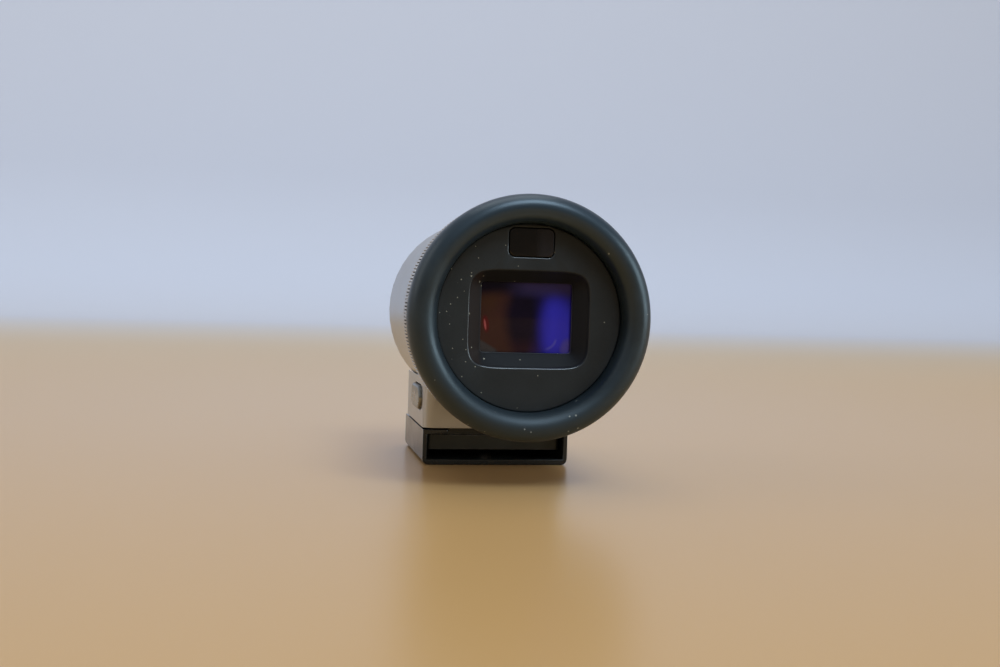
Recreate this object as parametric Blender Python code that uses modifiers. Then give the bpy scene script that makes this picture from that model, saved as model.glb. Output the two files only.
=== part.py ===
"""Round electronic viewfinder for a camera's accessory shoe, standing in its slide-on foot cover.

Frame: +Y runs along the barrel from the eye to the front, +X is to the right as the eye sees it, +Z is up.
The origin is under the middle of the whole part, on the surface that it stands on. All sizes are in metres.
"""
from math import asin, cos, pi, radians, sin, sqrt

import bmesh
import bpy
from mathutils import Matrix, Vector

# Clearances and cutting
SEAT = 0.0003  # between pieces that fit in or rest on each other
SLIDE = 0.0002  # beside faces that slide on each other
CLOSE = 0.00015  # round pieces set into a visible face
OVERRUN = 0.001  # how far a cutter passes the face that it opens
TIE = 0.0002  # how deep joined shapes sink into each other
WELD = 0.000001  # points closer than this become one

# Eyecup, a rubber ring whose rim is a tube
EYECUP_RADIUS = 0.0147
EYECUP_BAND = 0.00345
RIM_DEPTH = 0.0020
EYECUP_SKIRT = 0.0030
EYECUP_TAPER = 0.0007

# Face plate with its sloped recess, and the window at the bottom of the recess
PLATE_SINK = 0.0006
PLATE_CHAMFER = 0.0002
LIP_REACH = 0.00165
LIP_THICKNESS = 0.0010
SPIGOT_LENGTH = 0.0018
RECESS_WIDTH = 0.0148
RECESS_HEIGHT = 0.0119
RECESS_DEPTH = 0.00185
RECESS_POWER = 6.0
APERTURE_WIDTH = 0.0112
APERTURE_HEIGHT = 0.0085
APERTURE_POWER = 16.0
WINDOW_LIP = 0.0003
WINDOW_OVERLAP = 0.0004
WINDOW_THICKNESS = 0.0009

# Eye sensor behind its own window, above the recess
SENSOR_WIDTH = 0.00555
SENSOR_HEIGHT = 0.00395
SENSOR_CORNER = 0.0008
SENSOR_MARGIN = 0.00015
SENSOR_WINDOW_THICKNESS = 0.0009
SENSOR_POCKET_DEPTH = 0.0013
MODULE_WIDTH = 0.0034
MODULE_HEIGHT = 0.0021
MODULE_THICKNESS = 0.0009
SENSOR_BOARD_THICKNESS = 0.0005
SENSOR_CELL_WALL = 0.0006

# Diopter ring: a knurled head and a sleeve with two helical slots
RING_PROUD = 0.0012
RING_WIDTH = 0.0030
RING_EDGE = 0.0003
SLEEVE_LENGTH = 0.0049
SLEEVE_WALL = 0.0007
TURN_LOW = radians(-30)
TURN_HIGH = radians(90)
SLOT_SPARE = radians(6)
LENS_TRAVEL_PER_RADIAN = 0.0008

# Barrel and its front cap
BARREL_RADIUS = 0.0131
BARREL_WALL = 0.0007
BARREL_LENGTH = 0.0309
BARREL_NOSE = 0.0014
BARREL_CHAMFER = 0.0002
NOSE_LIP = 0.0012
NOSE_LIP_REACH = 0.0009
CAP_SINK = 0.0002
CAP_THICKNESS = 0.0013
CAP_SKIRT = 0.0015
CAP_SKIRT_WALL = 0.0008
BARREL_OPENING_WIDTH = 0.0068

# Inner tube, washer and the ledge for the display
CHASSIS_WALL = 0.0008
CHASSIS_LENGTH = 0.0227
SHOULDER_PLACE = 0.0087
SHOULDER_WIDTH = 0.0012
WASHER_THICKNESS = 0.00015
WASHER_WAVE = 0.0001
WASHER_WAVES = 3
LEDGE_PLACE = 0.0155
LEDGE_WIDTH = 0.0017
LEDGE_REACH = 0.0010
PAD_WIDTH = 0.0090
PAD_DROP = 0.0002
PAD_LENGTH = 0.0055
PILLAR_RADIUS = 0.0012
PILLAR_LENGTH = 0.0026
FLEX_ROOM = 0.0008

# Lens cell
CARRIER_REAR = 0.0027
CARRIER_LENGTH = 0.0112
CARRIER_WALL = 0.0010
CARRIER_LIP = 0.0008
CARRIER_LIP_REACH = 0.0008
GUIDE_PIN_RADIUS = 0.0006
GUIDE_PIN_PLACE = 0.0024
REAR_LENS_EDGE = 0.0019
REAR_LENS_SAG = 0.0009
SPACER_WIDTH = 0.0013
RIM_RING_WALL = 0.0009
MIDDLE_LENS_EDGE = 0.0022
MIDDLE_LENS_SAG = 0.0006
FRONT_LENS_EDGE = 0.0016
FRONT_LENS_REAR_SAG = 0.0005
FRONT_LENS_SAG = 0.0008
RETAINER_WIDTH = 0.0013

# Display stack
MASK_THICKNESS = 0.0008
MASK_WIDTH = 0.0104
MASK_HEIGHT = 0.0080
GASKET_THICKNESS = 0.0004
PANEL_WIDTH = 0.0140
PANEL_HEIGHT = 0.0110
PANEL_THICKNESS = 0.0011
BACKLIGHT_THICKNESS = 0.0018
BRACKET_THICKNESS = 0.0008
BRACKET_PAD_WIDTH = 0.0100
BRACKET_PAD_HEIGHT = 0.0080
STANDOFF_RADIUS = 0.0012
STANDOFF_LENGTH = 0.0032
STANDOFF_X = 0.0066
STANDOFF_Z = 0.0046
SMALL_SCREW_RADIUS = 0.0004
SMALL_HEAD_RADIUS = 0.0010
SMALL_HEAD_HEIGHT = 0.0006
SMALL_SCREW_LENGTH = 0.0024
DRIVE_WIDTH = 0.0007
DRIVE_DEPTH = 0.0003

# Main board
BOARD_RADIUS = 0.0098
BOARD_THICKNESS = 0.0008
BOARD_FLAT = 0.0090
CHIP_GAP = 0.0002
PROCESSOR_SIDE = 0.0060
PROCESSOR_RAISE = 0.0005
PROCESSOR_HEIGHT = 0.0008
MEMORY_WIDTH = 0.0030
MEMORY_LENGTH = 0.0040
MEMORY_HEIGHT = 0.0007
CONNECTOR_SOCKET_WIDTH = 0.0060
CONNECTOR_SOCKET_HEIGHT = 0.0014
CONNECTOR_SOCKET_DEPTH = 0.0010
CONNECTOR_SOCKET_DROP = 0.0062

# Flexible circuits
FLEX_THICKNESS = 0.00015
MAIN_FLEX_WIDTH = 0.0050
DISPLAY_FLEX_WIDTH = 0.0040
SENSOR_FLEX_WIDTH = 0.0026

# Base block under the barrel
BASE_LENGTH = 0.0190
BASE_OVERHANG = 0.0005
BASE_CORNER = 0.0012
BASE_WALL = 0.0012
BASE_FLOOR = 0.0012
CAVITY_REAR = 0.0060
CAVITY_LENGTH = 0.0092
CAVITY_DROP = 0.0110
BUTTON_POCKET_DEPTH = 0.0018
BUTTON_POCKET_SPARE = 0.0004

# Foot plate: rails that slide in the shoe, with a neck up to the base
FOOT_WIDTH = 0.0183
FOOT_THICKNESS = 0.00195
FOOT_BEHIND_PIN = 0.0076
FOOT_CORNER = 0.0006
NECK_WIDTH = 0.0124
NECK_INSET = 0.0004
SHOE_GAP = 0.00105
FOOT_SCREW_X = 0.0050
FOOT_SCREW_REAR = 0.0020
FOOT_SCREW_FRONT = 0.0020
FOOT_SCREW_RADIUS = 0.0007
FOOT_HEAD_RADIUS = 0.0013
FOOT_HEAD_HEIGHT = 0.0007
FOOT_SCREW_REACH = 0.0024
BODY_SCREW_X = 0.0020
BODY_SCREW_PLACE = 0.0044
BODY_SCREW_RADIUS = 0.0005
BODY_HEAD_RADIUS = 0.0011
BODY_HEAD_HEIGHT = 0.0007

# Connector at the front of the foot
PLUG_WIDTH = 0.0060
PLUG_LENGTH = 0.0048
PLUG_INSET = 0.0002
PLUG_SINK = 0.0002
CONTACT_COUNT = 6
CONTACT_PITCH = 0.0009
CONTACT_WIDTH = 0.0004
CONTACT_THICKNESS = 0.0002
CONTACT_LENGTH = 0.0036
CONTACT_BAR = 0.0005

# Lock: button, slide with a round hole, pin with a cone
BUTTON_LENGTH = 0.0084
BUTTON_HEIGHT = 0.0032
BUTTON_RISE = 0.00374
BUTTON_UNDER = 0.0006
BUTTON_PLACE = 0.0065
BUTTON_PROUD = 0.00045
BUTTON_CAP = 0.0010
BUTTON_EDGE = 0.0003
BUTTON_TRAVEL = 0.00075
FLANGE_THICKNESS = 0.0005
FLANGE_SPARE = 0.0004
FLANGE_TOP_CUT = 0.0013
STEM_LENGTH = 0.0060
STEM_HEIGHT = 0.0014
SLIDE_PLATE_THICKNESS = 0.0005
SLIDE_PLATE_LENGTH = 0.0059
SLIDE_TAB = 0.0005
SLIDE_LEFT_TAB_HEIGHT = 0.0023
SLIDE_RIGHT_TAB_HEIGHT = 0.0019
SLIDE_RIGHT_TAB_LENGTH = 0.0024
SLIDE_RIGHT_REACH = 0.0060
LOCK_PIN_PLACE = 0.0092
LOCK_PIN_RADIUS = 0.0011
LOCK_PIN_PROUD = 0.0007
LOCK_CONE_REACH = 0.0012
LOCK_CONE_SPARE = 0.0001
LOCK_COLLAR = 0.0003
LOCK_STEM_RADIUS = 0.0006
PIN_TIP_CHAMFER = 0.0002
PIN_SPRING_LENGTH = 0.0024
PIN_SPRING_RADIUS = 0.00105
BUTTON_SPRING_RADIUS = 0.00085
SPRING_WIRE = 0.0002
SPRING_TURNS = 3.5
SPRING_BRACKET_THICKNESS = 0.0004
SPRING_BRACKET_WIDTH = 0.0048
SPRING_BRACKET_OVERHANG = 0.0014
SPRING_BRACKET_FOOT = 0.0012

# Foot cover, a channel closed at the front
COVER_LENGTH = 0.0200
COVER_WALL = 0.0006
COVER_FLOOR = 0.00075
COVER_FRONT = 0.0007
COVER_CORNER = 0.0008
COVER_LIP_GAP = 0.0004
PIN_ROOM = 0.00115

# Smoothness
WIDE_STEPS = 48
ROUND_STEPS = 32
SMALL_STEPS = 16
PIN_STEPS = 12
HEX_STEPS = 6
CORNER_STEPS = 3
OUTLINE_STEPS = 40
RIM_STEPS = 10
SIDE_STEPS = 3
NOSE_STEPS = 4
LENS_STEPS = 3
SLOT_STEPS = 18
COIL_STEPS = 9
PATH_STEPS = 4

# Places along the barrel, worked out from the eye to the front
overall_length = (
    RIM_DEPTH + EYECUP_SKIRT + SEAT + RING_WIDTH + SEAT + BARREL_LENGTH + BASE_OVERHANG + SEAT + COVER_FRONT
)
widest_y = RIM_DEPTH - overall_length / 2
plate_y = widest_y + PLATE_SINK
skirt_y = widest_y + EYECUP_SKIRT
ring_rear_y = skirt_y + SEAT
ring_front_y = ring_rear_y + RING_WIDTH
barrel_rear_y = ring_front_y + SEAT
barrel_front_y = barrel_rear_y + BARREL_LENGTH
base_front_y = barrel_front_y + BASE_OVERHANG
base_rear_y = base_front_y - BASE_LENGTH
cover_front_y = base_front_y + SEAT + COVER_FRONT
cover_rear_y = cover_front_y - COVER_LENGTH
foot_front_y = base_front_y
pin_y = base_rear_y + LOCK_PIN_PLACE
foot_rear_y = pin_y - FOOT_BEHIND_PIN

# Heights, from the surface that the cover stands on
foot_low_z = COVER_FLOOR + PIN_ROOM
foot_high_z = foot_low_z + FOOT_THICKNESS
base_low_z = foot_high_z + SHOE_GAP
floor_z = base_low_z + BASE_FLOOR
neck_high_z = base_low_z - SLIDE
slide_low_z = floor_z + SLIDE
slide_high_z = slide_low_z + SLIDE_PLATE_THICKNESS

# The base is as wide as the foot in its cover, and the button's back sits just under the barrel
base_width = FOOT_WIDTH + 2 * (CLOSE + COVER_WALL)
button_z = base_low_z + BUTTON_RISE
button_back_x = base_width / 2 + BUTTON_PROUD - BUTTON_CAP
axis_z = (
    button_z
    + BUTTON_HEIGHT / 2
    + BUTTON_UNDER
    + sqrt((BARREL_RADIUS + SLIDE) ** 2 - button_back_x**2)
)

# Radii, from the barrel inwards
barrel_bore = BARREL_RADIUS - BARREL_WALL
sleeve_radius = barrel_bore - SEAT
sleeve_bore = sleeve_radius - SLEEVE_WALL
chassis_radius = sleeve_bore - SEAT
chassis_bore = chassis_radius - CHASSIS_WALL
carrier_radius = chassis_bore - SEAT
carrier_bore = carrier_radius - CARRIER_WALL
lens_radius = carrier_bore - SEAT
eyecup_bore = EYECUP_RADIUS - EYECUP_BAND
plate_radius = eyecup_bore - SEAT
lip_radius = plate_radius + LIP_REACH
spigot_radius = chassis_bore - SEAT
saddle_radius = BARREL_RADIUS + SLIDE
ring_radius = BARREL_RADIUS + RING_PROUD
nose_bore = barrel_bore - NOSE_LIP_REACH

# The lock's places
button_y = base_rear_y + BUTTON_PLACE
wall_x = -base_width / 2
wall_inside_x = wall_x + BASE_WALL
cavity_rear_y = base_rear_y + CAVITY_REAR
cavity_front_y = cavity_rear_y + CAVITY_LENGTH
cavity_high_z = axis_z - CAVITY_DROP
flange_x = wall_inside_x + SEAT + SLIDE / 2
tab_x = flange_x + FLANGE_THICKNESS + SEAT
main_flex_y = cavity_front_y - FLEX_ROOM / 2

for old in list(bpy.data.objects):
    bpy.data.objects.remove(old, do_unlink=True)

model = bpy.data.collections.new("electronic_viewfinder")
tools = bpy.data.collections.new("cutters")
for group in (model, tools):
    bpy.context.scene.collection.children.link(group)


def finish(name, colour, roughness, metallic=0.0):
    """Plain material with one colour."""
    material = bpy.data.materials.new(name)
    material.use_nodes = True
    shader = material.node_tree.nodes["Principled BSDF"]
    shader.inputs["Base Color"].default_value = (*colour, 1.0)
    shader.inputs["Roughness"].default_value = roughness
    shader.inputs["Metallic"].default_value = metallic
    return material


rubber = finish("eyecup_rubber", (0.035, 0.045, 0.05), 0.6)
dark_plastic = finish("dark_plastic", (0.02, 0.021, 0.021), 0.65)
cover_plastic = finish("cover_plastic", (0.012, 0.013, 0.013), 0.3)
window_glass = finish("window_glass", (0.03, 0.02, 0.09), 0.05)
sensor_glass = finish("sensor_glass", (0.01, 0.008, 0.007), 0.08)
lens_glass = finish("lens_glass", (0.7, 0.75, 0.8), 0.02)
silver = finish("satin_silver", (0.6, 0.61, 0.62), 0.38, 1.0)
foot_metal = finish("foot_metal", (0.05, 0.05, 0.045), 0.45, 1.0)
steel = finish("steel", (0.5, 0.5, 0.5), 0.3, 1.0)
gold = finish("gold_contact", (0.8, 0.6, 0.25), 0.25, 1.0)
board_green = finish("board_green", (0.02, 0.1, 0.04), 0.4)
chip_black = finish("chip_black", (0.02, 0.02, 0.022), 0.5)
flex_amber = finish("flex_amber", (0.35, 0.17, 0.04), 0.35)
foam = finish("foam_black", (0.015, 0.015, 0.015), 0.95)
light_box = finish("light_box_white", (0.75, 0.75, 0.73), 0.6)

TURNS_TO = {
    "X": Matrix.Rotation(pi / 2, 4, "Y"),
    "Y": Matrix.Rotation(-pi / 2, 4, "X"),
    "Z": Matrix.Identity(4),
}


def place(name, mesh, material):
    """Link a new object: a piece if it has a material, otherwise a cutter or a shape to be joined."""
    obj = bpy.data.objects.new(name, mesh)
    if material:
        model.objects.link(obj)
        mesh.materials.append(material)
    else:
        tools.objects.link(obj)
        obj.hide_render = True
        obj.display_type = "WIRE"
    return obj


def mesh_from(bm, name):
    """Turn a bmesh into a mesh whose faces point out."""
    bmesh.ops.recalc_face_normals(bm, faces=bm.faces)
    mesh = bpy.data.meshes.new(name)
    bm.to_mesh(mesh)
    bm.free()
    mesh.shade_smooth()
    mesh.set_sharp_from_angle(angle=radians(35))
    return mesh


def turned(name, profile, material=None, steps=ROUND_STEPS, axis="Y", centre=(0, 0, axis_z)):
    """Turn points of (radius, place along the axis) about the axis through the centre."""
    pairs = zip(profile, profile[1:] + profile[:1])
    area = sum(a[0] * b[1] - b[0] * a[1] for a, b in pairs)
    points = profile if area < 0 else profile[::-1]
    closed = min(radius for radius, _ in points) > 0
    while not closed and max(points[0][0], points[-1][0]) > 0:
        points = points[1:] + points[:1]
    last = len(points)
    edges = [(i, (i + 1) % last) for i in range(last if closed else last - 1)]
    mesh = bpy.data.meshes.new(name)
    mesh.from_pydata([(radius, 0, height) for radius, height in points], edges, [])
    obj = place(name, mesh, material)
    obj.matrix_world = Matrix.Translation(centre) @ TURNS_TO[axis]
    screw = obj.modifiers.new("turn", "SCREW")
    screw.axis = "Z"
    screw.steps = steps
    screw.render_steps = steps
    screw.use_merge_vertices = True
    screw.merge_threshold = WELD
    screw.use_smooth_shade = True
    return obj


def rod(name, radius, start, end, axis, centre, material=None, steps=SMALL_STEPS, end_radius=None):
    """Cylinder or cone frustum from start to end along an axis through the centre."""
    bm = bmesh.new()
    bmesh.ops.create_cone(
        bm,
        cap_ends=True,
        segments=steps,
        radius1=radius,
        radius2=radius if end_radius is None else end_radius,
        depth=end - start,
    )
    along = Matrix.Translation((0, 0, (start + end) / 2))
    obj = place(name, mesh_from(bm, name), material)
    obj.matrix_world = Matrix.Translation(centre) @ TURNS_TO[axis] @ along
    return obj


def box(name, low, high, material=None, along=None, radius=0.0, steps=CORNER_STEPS, pick=None):
    """Block between two corners. Its edges along one axis are rounded; pick chooses among them."""
    low, high = Vector(low), Vector(high)
    bm = bmesh.new()
    bmesh.ops.create_cube(bm, size=1)
    bmesh.ops.scale(bm, vec=high - low, verts=bm.verts)
    if along:
        index = "XYZ".index(along)
        edges = []
        for edge in bm.edges:
            a, b = (vert.co for vert in edge.verts)
            direction = b - a
            runs = abs(direction[index]) > direction.length / 2
            if runs and (pick is None or pick((a + b) / 2)):
                edges.append(edge)
        bmesh.ops.bevel(
            bm, geom=edges, offset=radius, segments=steps, profile=0.5, affect="EDGES", clamp_overlap=True
        )
    obj = place(name, mesh_from(bm, name), material)
    obj.location = (low + high) / 2
    return obj


def loft(name, rings, material=None):
    """Closed solid through rings with equal numbers of points."""
    bm = bmesh.new()
    rows = [[bm.verts.new(point) for point in ring] for ring in rings]
    for near, far in zip(rows, rows[1:]):
        for i in range(len(near)):
            j = (i + 1) % len(near)
            bm.faces.new((near[i], near[j], far[j], far[i]))
    bm.faces.new(rows[0])
    bm.faces.new(rows[-1])
    return place(name, mesh_from(bm, name), material)


def outline(width, height, power, y, centre_z):
    """Rounded rectangle with bowed sides, as a superellipse in a plane across the barrel."""
    points = []
    for i in range(OUTLINE_STEPS):
        angle = 2 * pi * (i + 1 / 2) / OUTLINE_STEPS
        c, s = cos(angle), sin(angle)
        x = width / 2 * abs(c) ** (2 / power) * (1 if c > 0 else -1)
        z = height / 2 * abs(s) ** (2 / power) * (1 if s > 0 else -1)
        points.append((x, y, centre_z + z))
    return points


def cut(obj, *cutters):
    """Cut shapes out of a piece."""
    for cutter in cutters:
        boolean = obj.modifiers.new("cut", "BOOLEAN")
        boolean.operation = "DIFFERENCE"
        boolean.solver = "EXACT"
        boolean.object = cutter


def join(obj, *shapes):
    """Join shapes to a piece."""
    for shape in shapes:
        boolean = obj.modifiers.new("join", "BOOLEAN")
        boolean.operation = "UNION"
        boolean.solver = "EXACT"
        boolean.object = shape


def arc(centre, radii, start, end, steps):
    """Points of an elliptical arc in the profile's plane."""
    points = []
    for i in range(steps + 1):
        angle = start + (end - start) * i / steps
        points.append((centre[0] + radii[0] * cos(angle), centre[1] + radii[1] * sin(angle)))
    return points


def smooth(points, steps=PATH_STEPS):
    """Points of a smooth curve through the given ones."""
    points = [Vector(point) for point in points]
    padded = [points[0]] + points + [points[-1]]
    result = []
    for a, b, c, d in zip(padded, padded[1:], padded[2:], padded[3:]):
        span = (c - b).length
        leaving = (c - a).normalized() * span
        arriving = (d - b).normalized() * span
        for i in range(steps):
            t = i / steps
            turn = leaving * (t**3 - 2 * t**2 + t) + arriving * (t**3 - t**2)
            result.append(b.lerp(c, 3 * t**2 - 2 * t**3) + turn)
    result.append(points[-1])
    return result


def ribbon(name, width, points, material):
    """Flexible circuit: a strip across X that follows points of (along the barrel, up from its axis)."""
    bm = bmesh.new()
    verts = [bm.verts.new((-width / 2, y, axis_z + z)) for y, z in smooth(points)]
    edges = [bm.edges.new(pair) for pair in zip(verts, verts[1:])]
    swept = bmesh.ops.extrude_edge_only(bm, edges=edges)["geom"]
    moved = [item for item in swept if isinstance(item, bmesh.types.BMVert)]
    bmesh.ops.translate(bm, vec=(width, 0, 0), verts=moved)
    obj = place(name, mesh_from(bm, name), material)
    solid = obj.modifiers.new("thickness", "SOLIDIFY")
    solid.thickness = FLEX_THICKNESS
    solid.offset = 0
    return obj


def coil(name, start, direction, length, radius, side):
    """Round-wire spring from start along a direction. Side is a unit vector across it."""
    curve = bpy.data.curves.new(name, "CURVE")
    curve.dimensions = "3D"
    curve.bevel_depth = SPRING_WIRE / 2
    curve.bevel_resolution = 1
    curve.use_fill_caps = True
    spline = curve.splines.new("POLY")
    count = int(SPRING_TURNS * COIL_STEPS)
    spline.points.add(count)
    direction, side = Vector(direction), Vector(side)
    across = direction.cross(side)
    reach = length - SPRING_WIRE
    for i in range(count + 1):
        angle = 2 * pi * i / COIL_STEPS
        along = SPRING_WIRE / 2 + reach * i / count
        point = direction * along + side * (radius * cos(angle)) + across * (radius * sin(angle))
        spline.points[i].co = (*(Vector(start) + point), 1)
    obj = bpy.data.objects.new(name, curve)
    model.objects.link(obj)
    curve.materials.append(steel)
    return obj


def machine_screw(name, centre, axis, head_start, tip, head_height, head_radius, shank_radius):
    """Pan-head screw along an axis, with a driver recess in the head, which is away from the tip."""
    side = 1 if tip < head_start else -1
    head_end = head_start + side * head_height
    shank_low, shank_high = sorted((tip, head_start + side * TIE))
    drive_low, drive_high = sorted((head_end - side * DRIVE_DEPTH, head_end + side * OVERRUN))
    head_low, head_high = sorted((head_start, head_end))
    head = rod(name, head_radius, head_low, head_high, axis, centre, steel, PIN_STEPS)
    join(head, rod(name + "_shank", shank_radius, shank_low, shank_high, axis, centre, None, PIN_STEPS))
    cut(head, rod(name + "_drive", DRIVE_WIDTH / 2, drive_low, drive_high, axis, centre, None, HEX_STEPS))


def small_screw(name, centre, seat_y):
    """Screw of the size that holds the display's bracket and the board, with its head in front."""
    tip_y = seat_y - SMALL_SCREW_LENGTH
    machine_screw(
        name, centre, "Y", seat_y, tip_y, SMALL_HEAD_HEIGHT, SMALL_HEAD_RADIUS, SMALL_SCREW_RADIUS
    )


def small_hole(obj, name, centre, low_y, high_y):
    """Hole for a small screw."""
    radius = SMALL_SCREW_RADIUS + CLOSE
    cut(obj, rod(name, radius, low_y, high_y, "Y", centre, None, PIN_STEPS))


def make_eyecup():
    """Rubber ring: a tube-like rim, and a groove that grips the face plate's lip."""
    middle = EYECUP_RADIUS - EYECUP_BAND / 2
    half = EYECUP_BAND / 2
    outer = arc((EYECUP_RADIUS - EYECUP_TAPER, 0), (EYECUP_TAPER, EYECUP_SKIRT), pi / 2, 0, SIDE_STEPS)
    rim = arc((middle, 0), (half, RIM_DEPTH), 0, -pi, RIM_STEPS)
    groove_y = EYECUP_SKIRT - LIP_THICKNESS - SEAT
    groove_radius = lip_radius + SEAT
    groove = [(eyecup_bore, groove_y), (groove_radius, groove_y), (groove_radius, EYECUP_SKIRT)]
    profile = [(radius, widest_y + y) for radius, y in outer[:-1] + rim + groove]
    turned("eyecup", profile, rubber, WIDE_STEPS)


def make_eyepiece_plate():
    """Face plate with the sloped recess, the sensor's opening, a lip for the rubber and a spigot."""
    spigot_y = skirt_y + SPIGOT_LENGTH
    profile = [
        (0, spigot_y),
        (spigot_radius, spigot_y),
        (spigot_radius, skirt_y),
        (lip_radius, skirt_y),
        (lip_radius, skirt_y - LIP_THICKNESS),
        (plate_radius, skirt_y - LIP_THICKNESS),
        (plate_radius, plate_y + PLATE_CHAMFER),
        (plate_radius - PLATE_CHAMFER, plate_y),
        (0, plate_y),
    ]
    plate = turned("eyepiece_plate", profile, dark_plastic)
    bottom_y = plate_y + RECESS_DEPTH
    face = (RECESS_WIDTH, RECESS_HEIGHT, RECESS_POWER)
    bottom = (APERTURE_WIDTH, APERTURE_HEIGHT, APERTURE_POWER)
    recess = loft(
        "recess",
        [
            outline(*face, plate_y - OVERRUN, axis_z),
            outline(*face, plate_y, axis_z),
            outline(*bottom, bottom_y, axis_z),
            outline(*bottom, bottom_y + WINDOW_LIP + TIE, axis_z),
        ],
    )
    pocket_x = window_half_x + SEAT
    pocket_z = window_half_z + SEAT
    pocket = box(
        "window_pocket",
        (-pocket_x, bottom_y + WINDOW_LIP, axis_z - pocket_z),
        (pocket_x, spigot_y + OVERRUN, axis_z + pocket_z),
    )
    sensor = box(
        "sensor_pocket",
        (-SENSOR_WIDTH / 2, plate_y - OVERRUN, sensor_low_z),
        (SENSOR_WIDTH / 2, plate_y + SENSOR_POCKET_DEPTH, sensor_high_z),
        along="Y",
        radius=SENSOR_CORNER,
    )
    cell = box(
        "sensor_cell",
        (-cell_half_x, plate_y + SENSOR_POCKET_DEPTH - TIE, cell_low_z),
        (cell_half_x, spigot_y + OVERRUN, cell_high_z),
    )
    cut(plate, recess, pocket, sensor, cell)


def make_windows():
    """Flat glass under the recess, and the sensor's window flush with the face plate."""
    window_y = plate_y + RECESS_DEPTH + WINDOW_LIP + SLIDE
    box(
        "eyepiece_window",
        (-window_half_x, window_y, axis_z - window_half_z),
        (window_half_x, window_y + WINDOW_THICKNESS, axis_z + window_half_z),
        window_glass,
        along="Y",
        radius=SENSOR_CORNER / 2,
    )
    box(
        "sensor_window",
        (-SENSOR_WIDTH / 2 + CLOSE, plate_y + CLOSE / 2, sensor_low_z + CLOSE),
        (SENSOR_WIDTH / 2 - CLOSE, plate_y + CLOSE / 2 + SENSOR_WINDOW_THICKNESS, sensor_high_z - CLOSE),
        sensor_glass,
        along="Y",
        radius=SENSOR_CORNER - CLOSE,
    )


def make_sensor():
    """Proximity sensor and its small board, in the cell behind the sensor's window."""
    middle = (cell_low_z + cell_high_z) / 2
    module_y = plate_y + CLOSE / 2 + SENSOR_WINDOW_THICKNESS + SEAT
    board_y = module_y + MODULE_THICKNESS + SLIDE
    box(
        "sensor_module",
        (-MODULE_WIDTH / 2, module_y, middle - MODULE_HEIGHT / 2),
        (MODULE_WIDTH / 2, module_y + MODULE_THICKNESS, middle + MODULE_HEIGHT / 2),
        chip_black,
    )
    box(
        "sensor_board",
        (-cell_half_x + SEAT, board_y, cell_low_z + SEAT),
        (cell_half_x - SEAT, board_y + SENSOR_BOARD_THICKNESS, cell_high_z - SEAT),
        board_green,
    )
    return board_y + SENSOR_BOARD_THICKNESS


def slot_cutter(name, side):
    """Helical slot of the ring's sleeve: where a guide pin runs while the ring turns."""
    curve = bpy.data.curves.new(name, "CURVE")
    curve.dimensions = "3D"
    curve.bevel_depth = GUIDE_PIN_RADIUS + SLIDE
    curve.bevel_resolution = 1
    curve.use_fill_caps = True
    spline = curve.splines.new("POLY")
    spline.points.add(SLOT_STEPS)
    middle = (sleeve_radius + sleeve_bore) / 2
    first = TURN_LOW - SLOT_SPARE
    last = TURN_HIGH + SLOT_SPARE
    for i in range(SLOT_STEPS + 1):
        turn = first + (last - first) * i / SLOT_STEPS
        x = side * middle * cos(turn)
        z = side * middle * sin(turn)
        spline.points[i].co = (x, guide_pin_y + LENS_TRAVEL_PER_RADIAN * turn, axis_z + z, 1)
    source = bpy.data.objects.new(name, curve)
    tools.objects.link(source)
    bpy.context.view_layer.update()
    evaluated = source.evaluated_get(bpy.context.evaluated_depsgraph_get())
    mesh = bpy.data.meshes.new_from_object(evaluated)
    bm = bmesh.new()
    bm.from_mesh(mesh)
    bmesh.ops.remove_doubles(bm, verts=bm.verts, dist=WELD)
    cutter = place(name + "_cutter", mesh_from(bm, name), None)
    cutter.matrix_world = source.matrix_world
    bpy.data.objects.remove(source, do_unlink=True)
    return cutter


def make_diopter_ring():
    """Ring that the fingers turn, with a sleeve whose two helical slots drive the lens cell."""
    sleeve_y = ring_front_y + SLEEVE_LENGTH
    profile = [
        (sleeve_bore, ring_rear_y),
        (ring_radius - RING_EDGE, ring_rear_y),
        (ring_radius, ring_rear_y + RING_EDGE),
        (ring_radius, ring_front_y - RING_EDGE),
        (ring_radius - RING_EDGE, ring_front_y),
        (sleeve_radius, ring_front_y),
        (sleeve_radius, sleeve_y),
        (sleeve_bore, sleeve_y),
    ]
    ring = turned("diopter_ring", profile, silver, WIDE_STEPS)
    cut(ring, slot_cutter("slot_right", 1), slot_cutter("slot_left", -1))
    return sleeve_y


def make_washer(sleeve_y):
    """Wave washer between the sleeve and the inner tube's shoulder, for the ring's friction."""
    middle_y = (sleeve_y + ring_rear_y + SHOULDER_PLACE) / 2
    inner, outer = sleeve_bore - SLIDE / 2, sleeve_radius - SLIDE / 2
    rings = []
    for radius, side in ((outer, -1), (outer, 1), (inner, 1), (inner, -1)):
        ring = []
        for i in range(ROUND_STEPS):
            angle = 2 * pi * i / ROUND_STEPS
            y = middle_y + side * WASHER_THICKNESS / 2 + WASHER_WAVE * sin(WASHER_WAVES * angle)
            ring.append((radius * cos(angle), y, axis_z + radius * sin(angle)))
        rings.append(ring)
    bm = bmesh.new()
    rows = [[bm.verts.new(point) for point in ring] for ring in rings]
    for near, far in zip(rows, rows[1:] + rows[:1]):
        for i in range(ROUND_STEPS):
            j = (i + 1) % ROUND_STEPS
            bm.faces.new((near[i], near[j], far[j], far[i]))
    place("ring_washer", mesh_from(bm, "ring_washer"), steel)


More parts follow.
